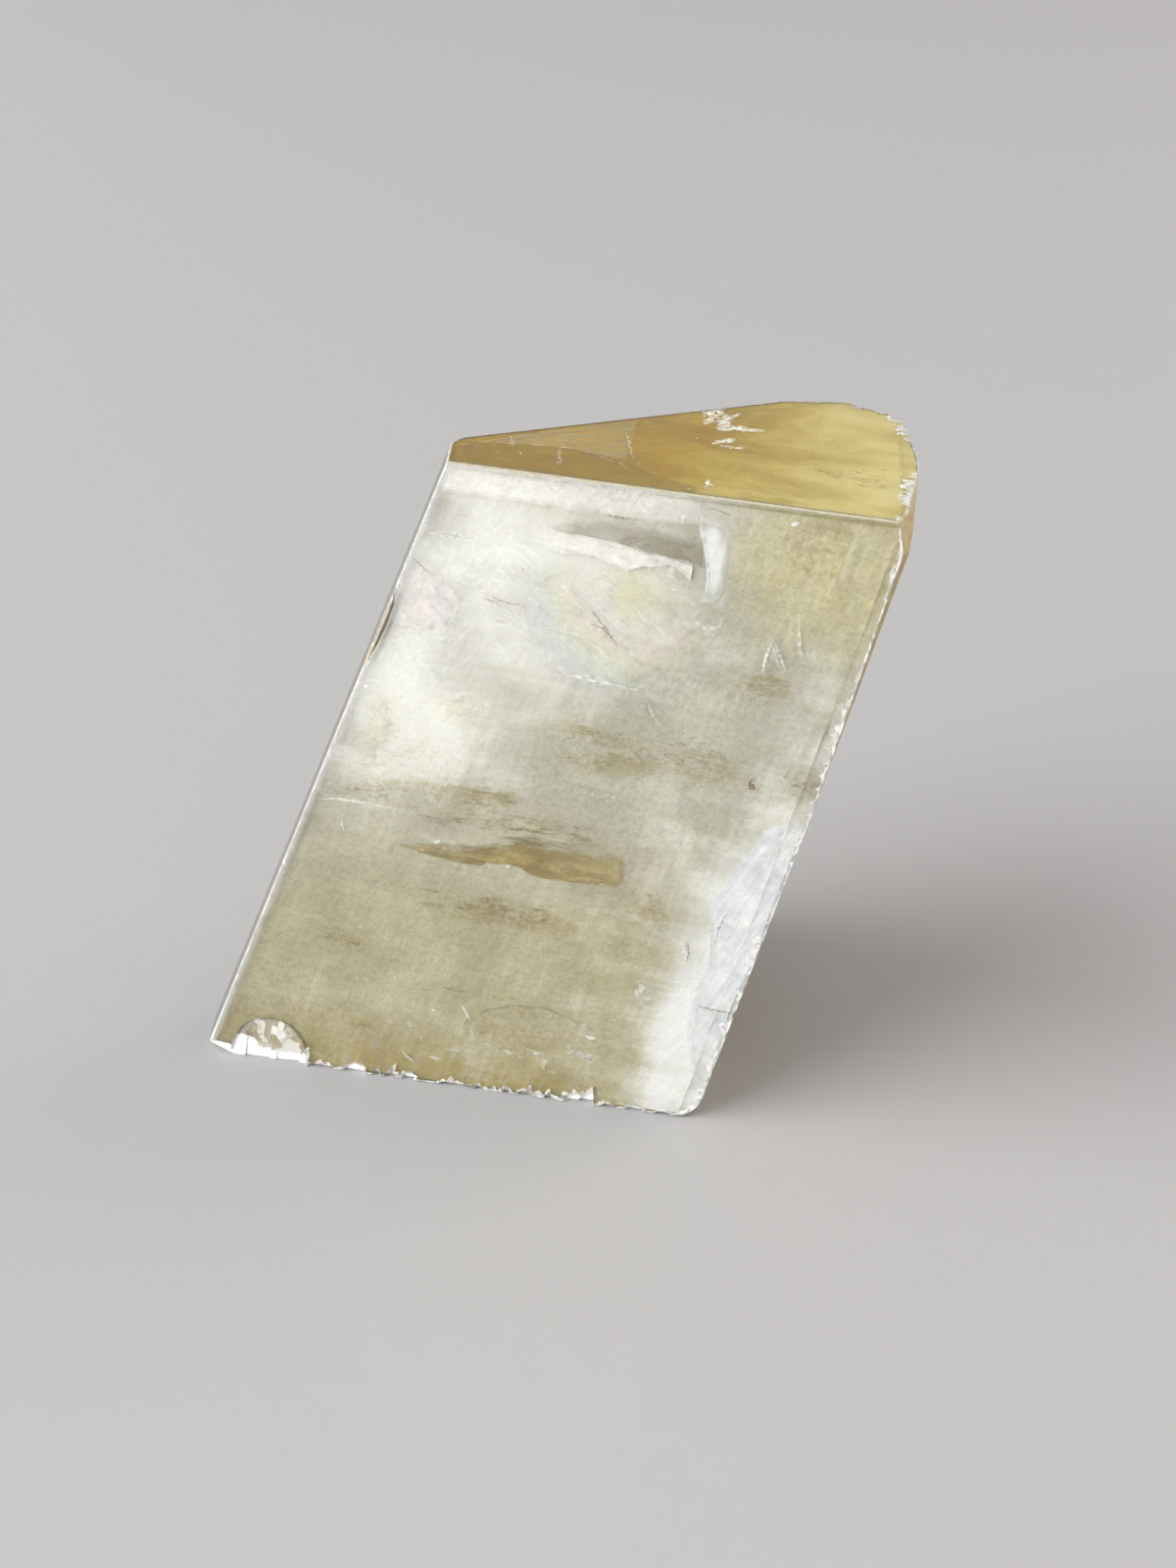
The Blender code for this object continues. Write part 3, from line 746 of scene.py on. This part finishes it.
fractures = {
    "shelf": (((31.7, 54.9), (32, 53.3), (34.2, 52.9), (37, 52.8), (38.6, 52.3), (39.8, 51.7), (41.5, 52.3),
               (43.9, 52.6), (45.2, 51.9), (45.9, 51.4), (46, 52.4)),
              ((31.7, 55.1), (34.9, 54.6), (38.1, 54.3), (39.8, 53.9), (41.5, 53.5), (44.7, 53.1), (46, 52.8))),
    "shade": (((31.5, 54.8), (34.9, 54.7), (38, 54.4), (41.5, 53.7), (45.8, 53.1), (46.9, 52.6)),
              ((31.3, 55.5), (34.4, 56.3), (37.5, 56.6), (42.2, 56.1), (46.8, 55.4))),
    "facet": (((49.6, 2), (48.9, 5.6), (48.2, 9.4), (48.3, 12.8), (49.3, 14.8), (49.7, 18.2), (50.4, 21.5),
               (52.6, 25.7), (54.2, 28), (54.3, 28.8), (57, 29.8)),
              ((50.2, 2), (51.2, 5.6), (52.1, 9.4), (53.1, 12.8), (53.9, 14.8), (54.8, 18.2), (55.8, 21.5),
               (57, 25.7), (57.6, 28), (57.9, 28.8), (58.2, 29.8))),
    "tube": (((46, 57.6), (46.3, 56.4), (46.8, 54.9), (47.2, 53.3), (47.4, 51.5), (47.2, 49.9), (46.6, 48.1)),
             ((49.8, 57.4), (50.1, 56.2), (50.2, 54.6), (50, 53), (49.9, 51.7), (49.6, 50.3), (49.3, 48.3))),
    "leftPatch": (((18.4, 44.6), (19.6, 44.6), (21.4, 44.6), (23.4, 45.4), (23.9, 46.8)),
                  ((18.4, 46.9), (19.2, 49), (20.3, 50.3), (21.7, 50), (23.8, 48))),
}

# bright thin lines: the tube's left side and rounded foot, painted glints under it, marks near the base
brightLines = (
    ((46.2, 59), (46.5, 57.2), (47, 55.2), (47.4, 53.3), (47.7, 51.5), (47.6, 49.9)),
    ((47.3, 48.6), (46.4, 48), (47, 47.3), (47.9, 47), (48.9, 47.4), (49.1, 48.2)),
    # painted glint: a painted highlight along this line
    ((33.6, 41.9), (35.2, 41.5), (36.9, 41.4), (38.3, 41.2), (40, 40.9), (41.7, 40.7)),
    ((53.2, 43.6), (53.4, 45), (54, 46.7)), ((54, 46.7), (54.5, 45.6), (55.3, 43.9)),
    ((26.4, 8.2), (26.7, 7.7), (27.2, 6.9)), ((27.4, 6.6), (27.5, 5.7), (27.5, 4.8)),
    ((20.5, 2.9), (21, 2.4), (21.8, 1.9)), ((23.4, 2.6), (24.6, 2.5)), ((20.9, 5.9), (21.4, 5.4)),
    ((33.9, 53.3), (36, 53.1), (38.4, 52.6), (39.6, 52)), ((10.6, 27.1), (13, 27.3), (15.5, 27.2), (18.4, 27)),
    ((47.6, 17.2), (47.9, 16.4), (48.2, 15.4)), ((42.4, 40.2), (43.2, 38.6), (44, 37.6)),
)

# small cracks that look dark, then the ring-shaped crack near the base
darkLines = (
    ((36.3, 48.6), (37.3, 47.2), (38.4, 46.1), (39.5, 44.7)), ((36.6, 46.6), (38, 46.2), (39.2, 45)),
    ((49.4, 11.2), (50.9, 11), (52.7, 10.9)), ((46.8, 58.1), (47.9, 58), (49.2, 57.6)),
    ((37.1, 56.7), (38.8, 56.6), (40.6, 56.5)), ((20.4, 26.7), (23.4, 26.4), (26.3, 26.3)),
    ((51.9, 21.1), (51, 19), (50.6, 17.4)), ((48, 17.5), (48.3, 16.2), (48.1, 15.3)),
    ((26.1, 48.7), (27.1, 48.3), (28.5, 47.8), (30.6, 47.6)), ((25.9, 48.1), (27.3, 47.8), (28.4, 47.3)),
    ((30.1, 51.3), (29.9, 50.7)), ((19.2, 51.3), (20.9, 49.9)),
    ((26.5, 6), (27, 6.9), (28.8, 8.1), (31.7, 8.9), (34.6, 9), (37.4, 8.3), (38.3, 7.5), (38.4, 6.9)),
)


def makeFractures():
    white = filmMaterial("whiteFracture", (0.98, 0.98, 0.96), 0.92, (0.7, 1.3, 0.5), 0.5, 0.3, 0.0,
                         (0.94, 0.94, 0.88))
    band("shelfFracture", *fractures["shelf"], (0.4, 0.65), 0.2, 31, white, columns=300)

    material, tree, shader = newMaterial("shelfShade")
    s, t = parts(attribute(tree, "own"))[:2]
    cloud = grain(stretch(attribute(tree), (0.4, 1.0, 0.5), 10.0), 1.0, 4.0, 0.62, 0.4)
    body = total(0.38, swing(cloud, 0.7), times(spread(s, 0.3, 0.8), 0.22))
    cover(shader, (0.4, 0.35, 0.24), 0.4, body, times(spread(t, 1.0, 0.4), spread(s, 0.0, 0.25)))
    band("shelfShade", *fractures["shade"], (0.72, 0.75), 0.08, 36, material)

    material, tree, shader = newMaterial("sideFracture")
    where = attribute(tree)
    s, t = parts(attribute(tree, "own"))[:2]
    lines = grain(stretch(where, (0.15, 2.4, 0.5), -60.0), 1.0, 5.0, 0.6)
    cloud = grain(where, 0.6, 5.0, 0.65, 0.5)
    body = total(0.85, swing(lines, 0.7), swing(cloud, 0.7))
    crisp = spread(t, 0.0, spread(s, 0.45, 0.62, 0.5, 0.02))
    bluish = blend(spread(cloud, 0.35, 0.65), (0.88, 0.92, 1.0), (0.97, 0.98, 1.0))
    cover(shader, bluish, 0.3, body, times(crisp, spread(s, 0.0, 0.2)))
    band("sideFracture", *fractures["facet"], (0.8, 0.6), 0.06, 32, material, rows=30, columns=260)

    # white ragged ends of inner cracks, the first two rows painted glints: centre x and up, half width and
    # height, turn
    ends = (
        (37.2, 41.6, 3.4, 0.22, -0.08), (40.9, 40.9, 1.5, 0.25, -0.2), (54.2, 45.2, 0.5, 1.3, 0.2),
        (56.4, 46.6, 0.4, 1.9, 0.2), (44.8, 57, 0.25, 0.35, 0.4), (55.1, 57.3, 0.4, 0.3, 0.3),
        (34.9, 3.6, 0.45, 0.6, 0.1), (35.7, 2.7, 0.5, 0.3, 0.1), (34, 4.4, 0.5, 0.35, 0.2),
        (31, 4.2, 1.6, 0.3, -0.15), (26, 3.6, 1.8, 0.22, 0), (38.5, 5, 2.2, 0.5, -0.2),
        (47.8, 16.2, 0.35, 0.8, 0.3), (48.9, 32.2, 1.2, 0.2, -0.1), (44.2, 11.8, 1.2, 1.6, 0.2),
        (44.1, 52, 0.6, 0.8, 0.3), (44.3, 50.9, 0.4, 0.9, 0.5),
    )
    soft = filmMaterial("softFractureAndGlint", (0.94, 0.94, 0.9), 0.55, (1.3, 1.3, 0.5), 0.8, 0.3, 0.7)
    fleckSheet("innerFracturesAndGlints", ends, np.linspace(0.3, 0.7, len(ends)), 0.6, 33, soft, rings=8, sides=48)

    material, tree, shader = newMaterial("tubeFilm")
    s, t = parts(attribute(tree, "own"))[:2]
    cloud = grain(stretch(attribute(tree), (1.0, 0.25, 0.4), 8.0), 1.0, 4.0, 0.6)
    body = total(1.1, swing(cloud, 1.3), times(spread(t, 0.3, 1.0), -0.6))
    cover(shader, blend(t, (0.93, 0.96, 1.0), (0.93, 0.93, 0.88)), 0.35, body,
          times(spread(t, 1.0, 0.45), times(spread(s, 1.0, 0.6), spread(s, 0.0, 0.2))))
    band("paleTube", *fractures["tube"], (0.6, 0.8), 0.16, 34, material)

    # bright crack lines, among them painted glints
    bright = filmMaterial("brightCrackAndGlint", (0.97, 0.97, 0.97), 0.9, (1.1, 1.1, 0.5), 0.6, 0.3)
    crackSheet("brightCracksAndGlints", brightLines, 0.24, (0.25, 0.5), 0.04, 35, bright)
    dark = filmMaterial("darkCracks", (0.33, 0.29, 0.2), 0.6, (1.2, 1.2, 1.2), 0.5, 0.4)
    crackSheet("darkCracks", darkLines, 0.13, (0.15, 0.4), 0.05, 55, dark)
    print("fractures made")


# soft rings of thin-film colour round a middle, distances in mm; the patch is a row for fleckSheet
rainbow = {
    "middle": (41.4, 50.7, 0.7),
    "stops": ((0.0, (0.88, 0.87, 0.52)), (3.0, (0.93, 0.92, 0.7)), (4.6, (0.96, 0.95, 0.9)),
              (6.1, (0.98, 0.89, 0.86)), (7.6, (0.97, 0.94, 0.76)), (9.0, (0.87, 0.94, 0.86)),
              (10.2, (0.9, 0.91, 0.98)), (13.0, (0.96, 0.96, 0.93))),
    "patch": (38.0, 46.4, 11.5, 9.0, -0.15),
}


def makeIridescence():
    material, tree, shader = newMaterial("thinFilmColours")
    where = attribute(tree)
    rim = parts(attribute(tree, "own"))[0]
    warp = grain(where, 0.3, 4.0, 0.55, 0.6)
    flat = stretch(vectorMath("SUBTRACT", where, rainbow["middle"]), (1.0, 1.0, 0.0))
    away = total(vectorMath("LENGTH", flat), swing(warp, 3.0))
    ramp = tree.nodes.new("ShaderNodeValToRGB")
    ramp.color_ramp.interpolation = "EASE"
    stops = rainbow["stops"]
    reach = stops[-1][0]
    first, last = ramp.color_ramp.elements
    first.color, last.color = (*stops[0][1], 1.0), (*stops[-1][1], 1.0)
    for at, colour in stops[1:-1]:
        ramp.color_ramp.elements.new(at / reach).color = (*colour, 1.0)
    feedAt(ramp, 0, times(away, 1.0 / reach))
    wisps = grain(stretch(where, (0.35, 1.0, 0.5), 35.0), 1.0, 5.0, 0.7, 0.4)
    body = times(spread(total(rim, swing(wisps, 0.9)), 0.95, 0.4),
                 spread(wisps, 0.3, 0.65, 0.2, 0.6))
    feed(shader, Base_Color=ramp.outputs[0], Alpha=body, Roughness=0.25)
    fleckSheet("thinFilmColours", [rainbow["patch"]], (0.64,), 0.1, 41, material, rings=24, sides=96)
    pink = filmMaterial("pinkFilm", (0.97, 0.97, 1.0), 0.7, (0.45, 0.6, 0.5), 0.7, 0.25, 0.0,
                        (1.0, 0.94, 0.91), 30.0)
    band("leftPatch", *fractures["leftPatch"], (0.6, 0.6), 0.08, 42, pink)
    cream = filmMaterial("creamPatches", (0.98, 0.96, 0.82), 0.6, (0.5, 0.9, 0.5), 0.9, 0.3, 1.0)
    places = ((16.8, 35, 2.2, 3.4, -0.15), (15.6, 31.6, 1.7, 1.6, 0.2), (24.5, 37.5, 3.2, 1.6, 0.3))
    fleckSheet("creamPatches", places, (0.66, 0.68, 0.66), 0.2, 43, cream, rings=8, sides=64)
    print("thin film colours made")


# x, up, reach x, reach up, count, half length and turn of each group of fine scratches
scratchGroups = (
    (43.5, 15.3, 5, 1.2, 14, 3.2, 0.52), (45, 13.6, 3.5, 2, 8, 2.2, 0.56), (13.1, 4.6, 0.2, 0.6, 3, 3.3, 1.27),
    (12.3, 4.7, 0.2, 0.6, 3, 3.2, 1.27), (30, 30, 16, 16, 150, 0.8, 0.9), (35, 45, 14, 9, 130, 0.7, 1.2),
    (52, 18, 3, 9, 40, 2, 1.25), (56, 44, 4, 8, 60, 1.6, 1.3), (22, 44, 7, 9, 110, 0.8, 0.7),
    (22, 12, 10, 8, 70, 0.7, 1.2), (40, 10, 8, 6, 50, 0.7, 1), (46, 30, 7, 9, 60, 0.7, 1.1),
)


def makeScratches():
    rng = seeded(51)
    lines = scatter(rng, scratchGroups, 0.012, 0.032, 0.0, 0.1)
    line = filmMaterial("scratch", (0.96, 0.96, 0.95), 0.68, (1.2, 1.2, 1.2), 0.8, 0.4, 0.6)
    fleckSheet("scratches", lines, rng.uniform(0.08, 0.14, len(lines)), 0.1, 52, line, rings=3, sides=12)

    speck = filmMaterial("whiteSpecks", (0.96, 0.96, 0.95), 0.95, (1.0, 1.0, 1.0), 0.2, 0.4)
    marks = ((23, 24.2, 0.32, 0.2), (39.3, 6.7, 0.4, 0.2), (13.4, 24.7, 0.1, 0.4), (44.6, 52.9, 0.2, 0.18),
             (21.6, 41.8, 0.14, 0.12), (23.5, 7.4, 0.14, 0.1), (30.2, 22.6, 0.2, 0.16), (38, 30.5, 0.1, 0.1),
             (55.1, 57.3, 0.3, 0.26), (44.8, 57, 0.24, 0.26), (28, 41, 0.12, 0.1))
    count = 110
    random = np.column_stack([rng.uniform(14, 58, count), rng.uniform(3, 56, count),
                              rng.uniform(0.03, 0.1, count), rng.uniform(0.03, 0.09, count)])
    dotted = np.column_stack([rng.uniform(21.0, 26.0, 14), 55.9 + rng.normal(0, 0.05, 14),
                              rng.uniform(0.08, 0.25, 14), rng.uniform(0.03, 0.06, 14)])
    marks = np.concatenate([marks, random, dotted])
    marks = marks[(marks[:, 0] > leftEdge(marks[:, 1]) + 0.7) & (marks[:, 0] < rightEdge(marks[:, 1]) - 0.7)]
    marks = np.column_stack([marks, rng.uniform(-0.6, 0.6, len(marks))])
    fleckSheet("whiteSpecks", marks, rng.uniform(0.08, 0.16, len(marks)), 0.5, 53, speck, rings=3, sides=14)

    hook = filmMaterial("brownFleck", (0.24, 0.1, 0.02), 0.85, (1.5, 1.5, 1.5), 0.4, 0.5)
    crackSheet("brownFleck", (((53.1, 33.6), (52.8, 33.1), (52.9, 32.7), (53.5, 32.6)),
                              ((53.0, 33.1), (53.2, 32.9), (53.3, 32.7))), 0.26, (0.1, 0.14), 0.02, 54, hook)
    faint = filmMaterial("greyLine", (0.74, 0.75, 0.82), 0.28, (0.4, 0.4, 0.4), 0.2, 0.4)
    crackSheet("greyLine", (((20.7, 53.7), (22.9, 53.7), (25.5, 53.6)),), 0.4, (0.4, 0.42), 0.01, 57, faint)
    print("scratches made")


# a worn rim: P(t, a) = middle + (R(a) - t w(a)) heading(a), R(a) the way to the skin and w(a) a ragged width
def wornRim(name, middle, one, two, widthAt, seed, material, sides=3600):
    rng = seeded(seed)
    a, headings = headingsRound(one, two, sides)
    reach = toSkin(middle, headings, 0.00002)
    edge = middle + reach[:, None] * headings
    run = 1000.0 * np.cumsum(np.linalg.norm(np.diff(edge, axis=0, prepend=edge[:1]), axis=1))
    rough = sum(size * np.interp(run, np.arange(0, run[-1] + step, step),
                                 rng.uniform(-1, 1, len(np.arange(0, run[-1] + step, step))))
                for step, size in ((4.0, 0.6), (1.3, 0.6), (0.45, 0.6), (0.18, 0.4)))
    width = 0.001 * widthAt(edge) * np.maximum(0.35 + rough, 0.02)
    t = np.linspace(0.0, 1.0, 4)[:, None]
    points = middle + (reach - t * width)[..., None] * headings
    own = together(t, a / (2 * np.pi), 0.0)
    gridObject(name, points[None], own[None], material, ringed=True)


# wear in mm round the front: wide down the right side, narrow along the base, thin on the left and top
def frontWearWidth(edge):
    x, up = toPlace(edge).T[:2]
    right = (rightEdge(up) - x < 1.6) & (up > 1.0)
    return np.where(right, np.interp(up, (0, 6, 30, 38, 52, 58), (0.5, 0.9, 0.8, 0.7, 0.9, 1.1)),
                    np.where(up < 1.6, 0.42, 0.03))


# wear in mm round the top: wide at the broken right end, thin elsewhere
def topWearWidth(edge):
    x = toPlace(edge)[:, 0]
    return np.interp(x, (20, 40, 57, 61, 66), (0.03, 0.05, 0.2, 1.1, 0.9))


def makeWornRims():
    rim = filmMaterial("wornRim", (0.96, 0.96, 0.95), 0.8, (1.6, 1.6, 1.6), 1.1, 0.5)
    wornRim("frontRim", onFront(*stone["frontMiddle"], 0.04), across, upFront, frontWearWidth, 71, rim)
    wornRim("topRim", underTop(*stone["topMiddle"], 0.04), downTop, rearwards, topWearWidth, 72, rim)
    print("worn rims made")


topFilms = {
    "dark": (0.56, 0.34, 0.01),
    "light": (0.64, 0.52, 0.05),
    "shine": (0.9, 0.83, 0.42),
    # lower and upper edge in plan of the darker front left part and of the paler triangle behind it
    "darkBand": (((22.5, 16.2), (28, 16.2), (34, 16.2), (40, 16.2), (45.5, 16.2)),
                 ((22.4, 22.2), (26.2, 23.3), (31.1, 24.1), (33.9, 23.6), (37.7, 22.4), (40.3, 20.2),
                  (45.5, 17.6))),
    "paleBack": (((23, 22.6), (26.2, 23.4), (31.1, 24.2), (33.9, 23.7), (37.7, 22.6)),
                 ((23.3, 22.8), (25.5, 25.3), (28.5, 28.5), (32, 31.7), (36, 35))),
}


def makeTopFilms():
    material, tree, shader = newMaterial("honeyCloud")
    where = attribute(tree)
    x = parts(where)[0]
    cloud = grain(stretch(where, (0.09, 0.2, 0.13), 6.0), 1.0, 5.0, 0.62, 0.7)
    streaky = grain(stretch(where, (0.18, 0.7, 0.7), 0.0), 1.0, 5.0, 0.66, 0.3)
    fine = grain(where, 1.3, 4.0, 0.7, 0.3)
    shine = spread(total(x, swing(cloud, 14.0)), 41.0, 63.0)
    tone = total(swing(cloud, 0.9), swing(streaky, 0.1), swing(fine, 0.45),
                 spread(x, 36.0, 56.0, 0.22, 0.75))
    colour = blend(tone, topFilms["dark"], topFilms["light"])
    colour = blend(times(shine, spread(cloud, 0.3, 0.7, 0.5, 0.95)), colour, topFilms["shine"])
    brown = times(spot(where, 42.0, 62.0, 5.0, 7.0), spread(cloud, 0.6, 0.4))
    colour = blend(times(brown, 0.45), colour, (0.6, 0.33, 0.04))
    alpha = spread(total(cloud, swing(streaky, 0.12), times(shine, 0.15)), 0.3, 0.7, 0.74, 0.95)
    feed(shader, Base_Color=colour, Alpha=alpha, Roughness=0.35)
    innerSheet("honeyCloud", underTop(*stone["topMiddle"], 0.55), downTop, rearwards, 0.00008, 0.00003, 61,
               material)

    olive = filmMaterial("oliveBand", (0.5, 0.36, 0.04), 0.32, (0.15, 0.5, 0.5), 0.35, 0.4)
    band("oliveBand", *topFilms["darkBand"], (0.4, 0.4), 0.1, 67, olive, place=underTop)
    beige = filmMaterial("beigeBack", (0.84, 0.75, 0.44), 0.28, (0.2, 0.3, 0.5), 0.5, 0.4)
    band("beigeBack", *topFilms["paleBack"], (0.42, 0.42), 0.05, 68, beige, place=underTop)

    bright = filmMaterial("topCracks", (0.96, 0.93, 0.82), 0.75, (0.9, 0.9, 0.9), 0.7, 0.3)
    crackSheet("topCracks", (
        ((35.6, 31.2), (36.4, 29), (36.9, 27.4), (38.2, 23.3)),
        ((33.4, 24.1), (36.1, 22.1), (37.5, 21.5), (38.5, 20.1)),
        ((31, 23.6), (31.4, 21.5), (32.3, 19.3)), ((25.5, 25.7), (26.6, 22.6)), ((36.6, 25), (38.4, 24.2)),
        ((22.6, 22.4), (26, 23.4), (31.1, 24.1), (33.9, 23.6), (37.7, 22.4)), ((45.2, 33), (45.7, 31)),
    ), 0.26, (0.2, 0.38), 0.12, 62, bright, place=underTop)
    # star fractures under the top: real cracks, their bright cream a painted glint
    stars = ((42.8, 38.8, 0.8, 1, 0.2), (44.2, 38.4, 0.7, 1.5, -0.3), (45.8, 36, 1.2, 0.8, 0.5),
                      (45.5, 31.8, 0.8, 0.6, 0.2), (46.3, 18.9, 0.35, 0.7, 0), (44.4, 36.2, 0.5, 1, 0.9),
                      (46.6, 30.3, 0.7, 0.4, 0.3), (41.9, 39.6, 0.4, 0.5, 0))
    pale = filmMaterial("starFractureGlint", (1.0, 0.97, 0.8), 0.8, (1.1, 1.1, 1.1), 1.2, 0.25)
    fleckSheet("starFractureGlints", stars, np.linspace(0.2, 0.36, len(stars)), 1.3, 63, pale, underTop,
               rings=6, sides=60)
    rng = seeded(65)
    count = 60
    flecks = np.concatenate([rng.normal((57.5, 26.4), (1.4, 0.7), (count // 3, 2)),
                             rng.normal((61.0, 25.0), (1.0, 1.5), (count // 3, 2)),
                             rng.normal((50.0, 28.0), (7.0, 4.5), (count // 3, 2))])
    wide, high = rng.uniform(0.2, 1.1, count), rng.uniform(0.15, 0.42, count)
    flecks[:, 0] = np.minimum(flecks[:, 0], 62.5 - wide)
    flecks = np.column_stack([flecks, wide, high, rng.normal(0.0, 0.2, count)])
    brown = filmMaterial("topFlecks", (0.5, 0.32, 0.05), 0.26, (1.0, 1.0, 1.0), 0.6, 0.4, 1.0)
    fleckSheet("topFlecks", flecks, rng.uniform(0.2, 0.4, count), 0.5, 66, brown, underTop)
    print("top films made")


view = {
    "place": (0.05315, -0.21007, 0.12740),
    "pitchDeg": 25.94,
    "turnDeg": 13.796,
    "lens": 54.09,
}


def makeCamera():
    data = bpy.data.cameras.new("viewCamera")
    data.lens = view["lens"]
    data.clip_start, data.clip_end = 0.01, 20.0
    camera = addObject("viewCamera", data)
    camera.location = view["place"]
    camera.rotation_euler = (math.radians(90.0 - view["pitchDeg"]), 0.0, math.radians(view["turnDeg"]))
    scene.camera = camera


studio = {
    "floorColour": (0.285, 0.285, 0.289),
    "skyStrength": 0.9,
    "skyColour": (0.97, 0.97, 1.0),
    "wallDirection": (-0.2, 0.92, 0.34),
    "wallDark": 0.6,
    "wallFade": (0.86, 0.97),
    "floorHalf": 4.0,
    "floorDrop": 0.00005,
    # name, place, size, watts, colour
    "lights": (
        ("window", (-1.8, -0.81, 1.45), 3.0, 98.0, (1.0, 0.99, 0.96)),
        ("backPanel", (2.4, 1.7, 1.2), 2.0, 60.0, (1.0, 0.8, 0.52)),
        ("frontPanel", (-2.6, -1.9, 0.75), 3.2, 178.0, (1.0, 0.99, 0.97)),
    ),
}


def makeFloor():
    mesh = bpy.data.meshes.new("floor")
    half = studio["floorHalf"]
    corners = [(-half, -half, 0), (half, -half, 0), (half, half, 0), (-half, half, 0)]
    mesh.from_pydata(corners, [], [(0, 1, 2, 3)])
    floor = addObject("floor", mesh)
    material, tree, shader = newMaterial("paleFloor")
    feed(shader, Base_Color=studio["floorColour"], Roughness=0.45)
    mesh.materials.append(material)
    floor.location.z = -studio["floorDrop"]


# soft sky light with a darker wall behind the stone, and a large panel for each entry of the studio's lights
def makeLights():
    world = bpy.data.worlds.new("studio")
    scene.world = world
    world.use_nodes = True
    tree = world.node_tree
    facing = tree.nodes.new("ShaderNodeTexCoord").outputs["Generated"]
    behind = spread(vectorMath("DOT_PRODUCT", facing, studio["wallDirection"]), *studio["wallFade"])
    feed(tree.nodes["Background"], Color=studio["skyColour"],
         Strength=times(total(1.0, times(behind, -studio["wallDark"])), studio["skyStrength"]))
    for name, place, size, power, colour in studio["lights"]:
        data = bpy.data.lights.new(name, "AREA")
        data.shape = "SQUARE"
        data.size = size
        data.energy = power
        data.color = colour
        light = addObject(name, data)
        light.location = place
        light.rotation_euler = (Vector((0, 0, 0.03)) - Vector(place)).to_track_quat("-Z", "Y").to_euler()


scene.view_settings.view_transform = "Standard"
scene.cycles.transparent_max_bounces = 24
scene.cycles.max_bounces = 8
makeCamera()
makeFloor()
makeLights()
makeSkin()
makeVeils()
makeIron()
makeFractures()
makeIridescence()
makeScratches()
makeTopFilms()
makeWornRims()
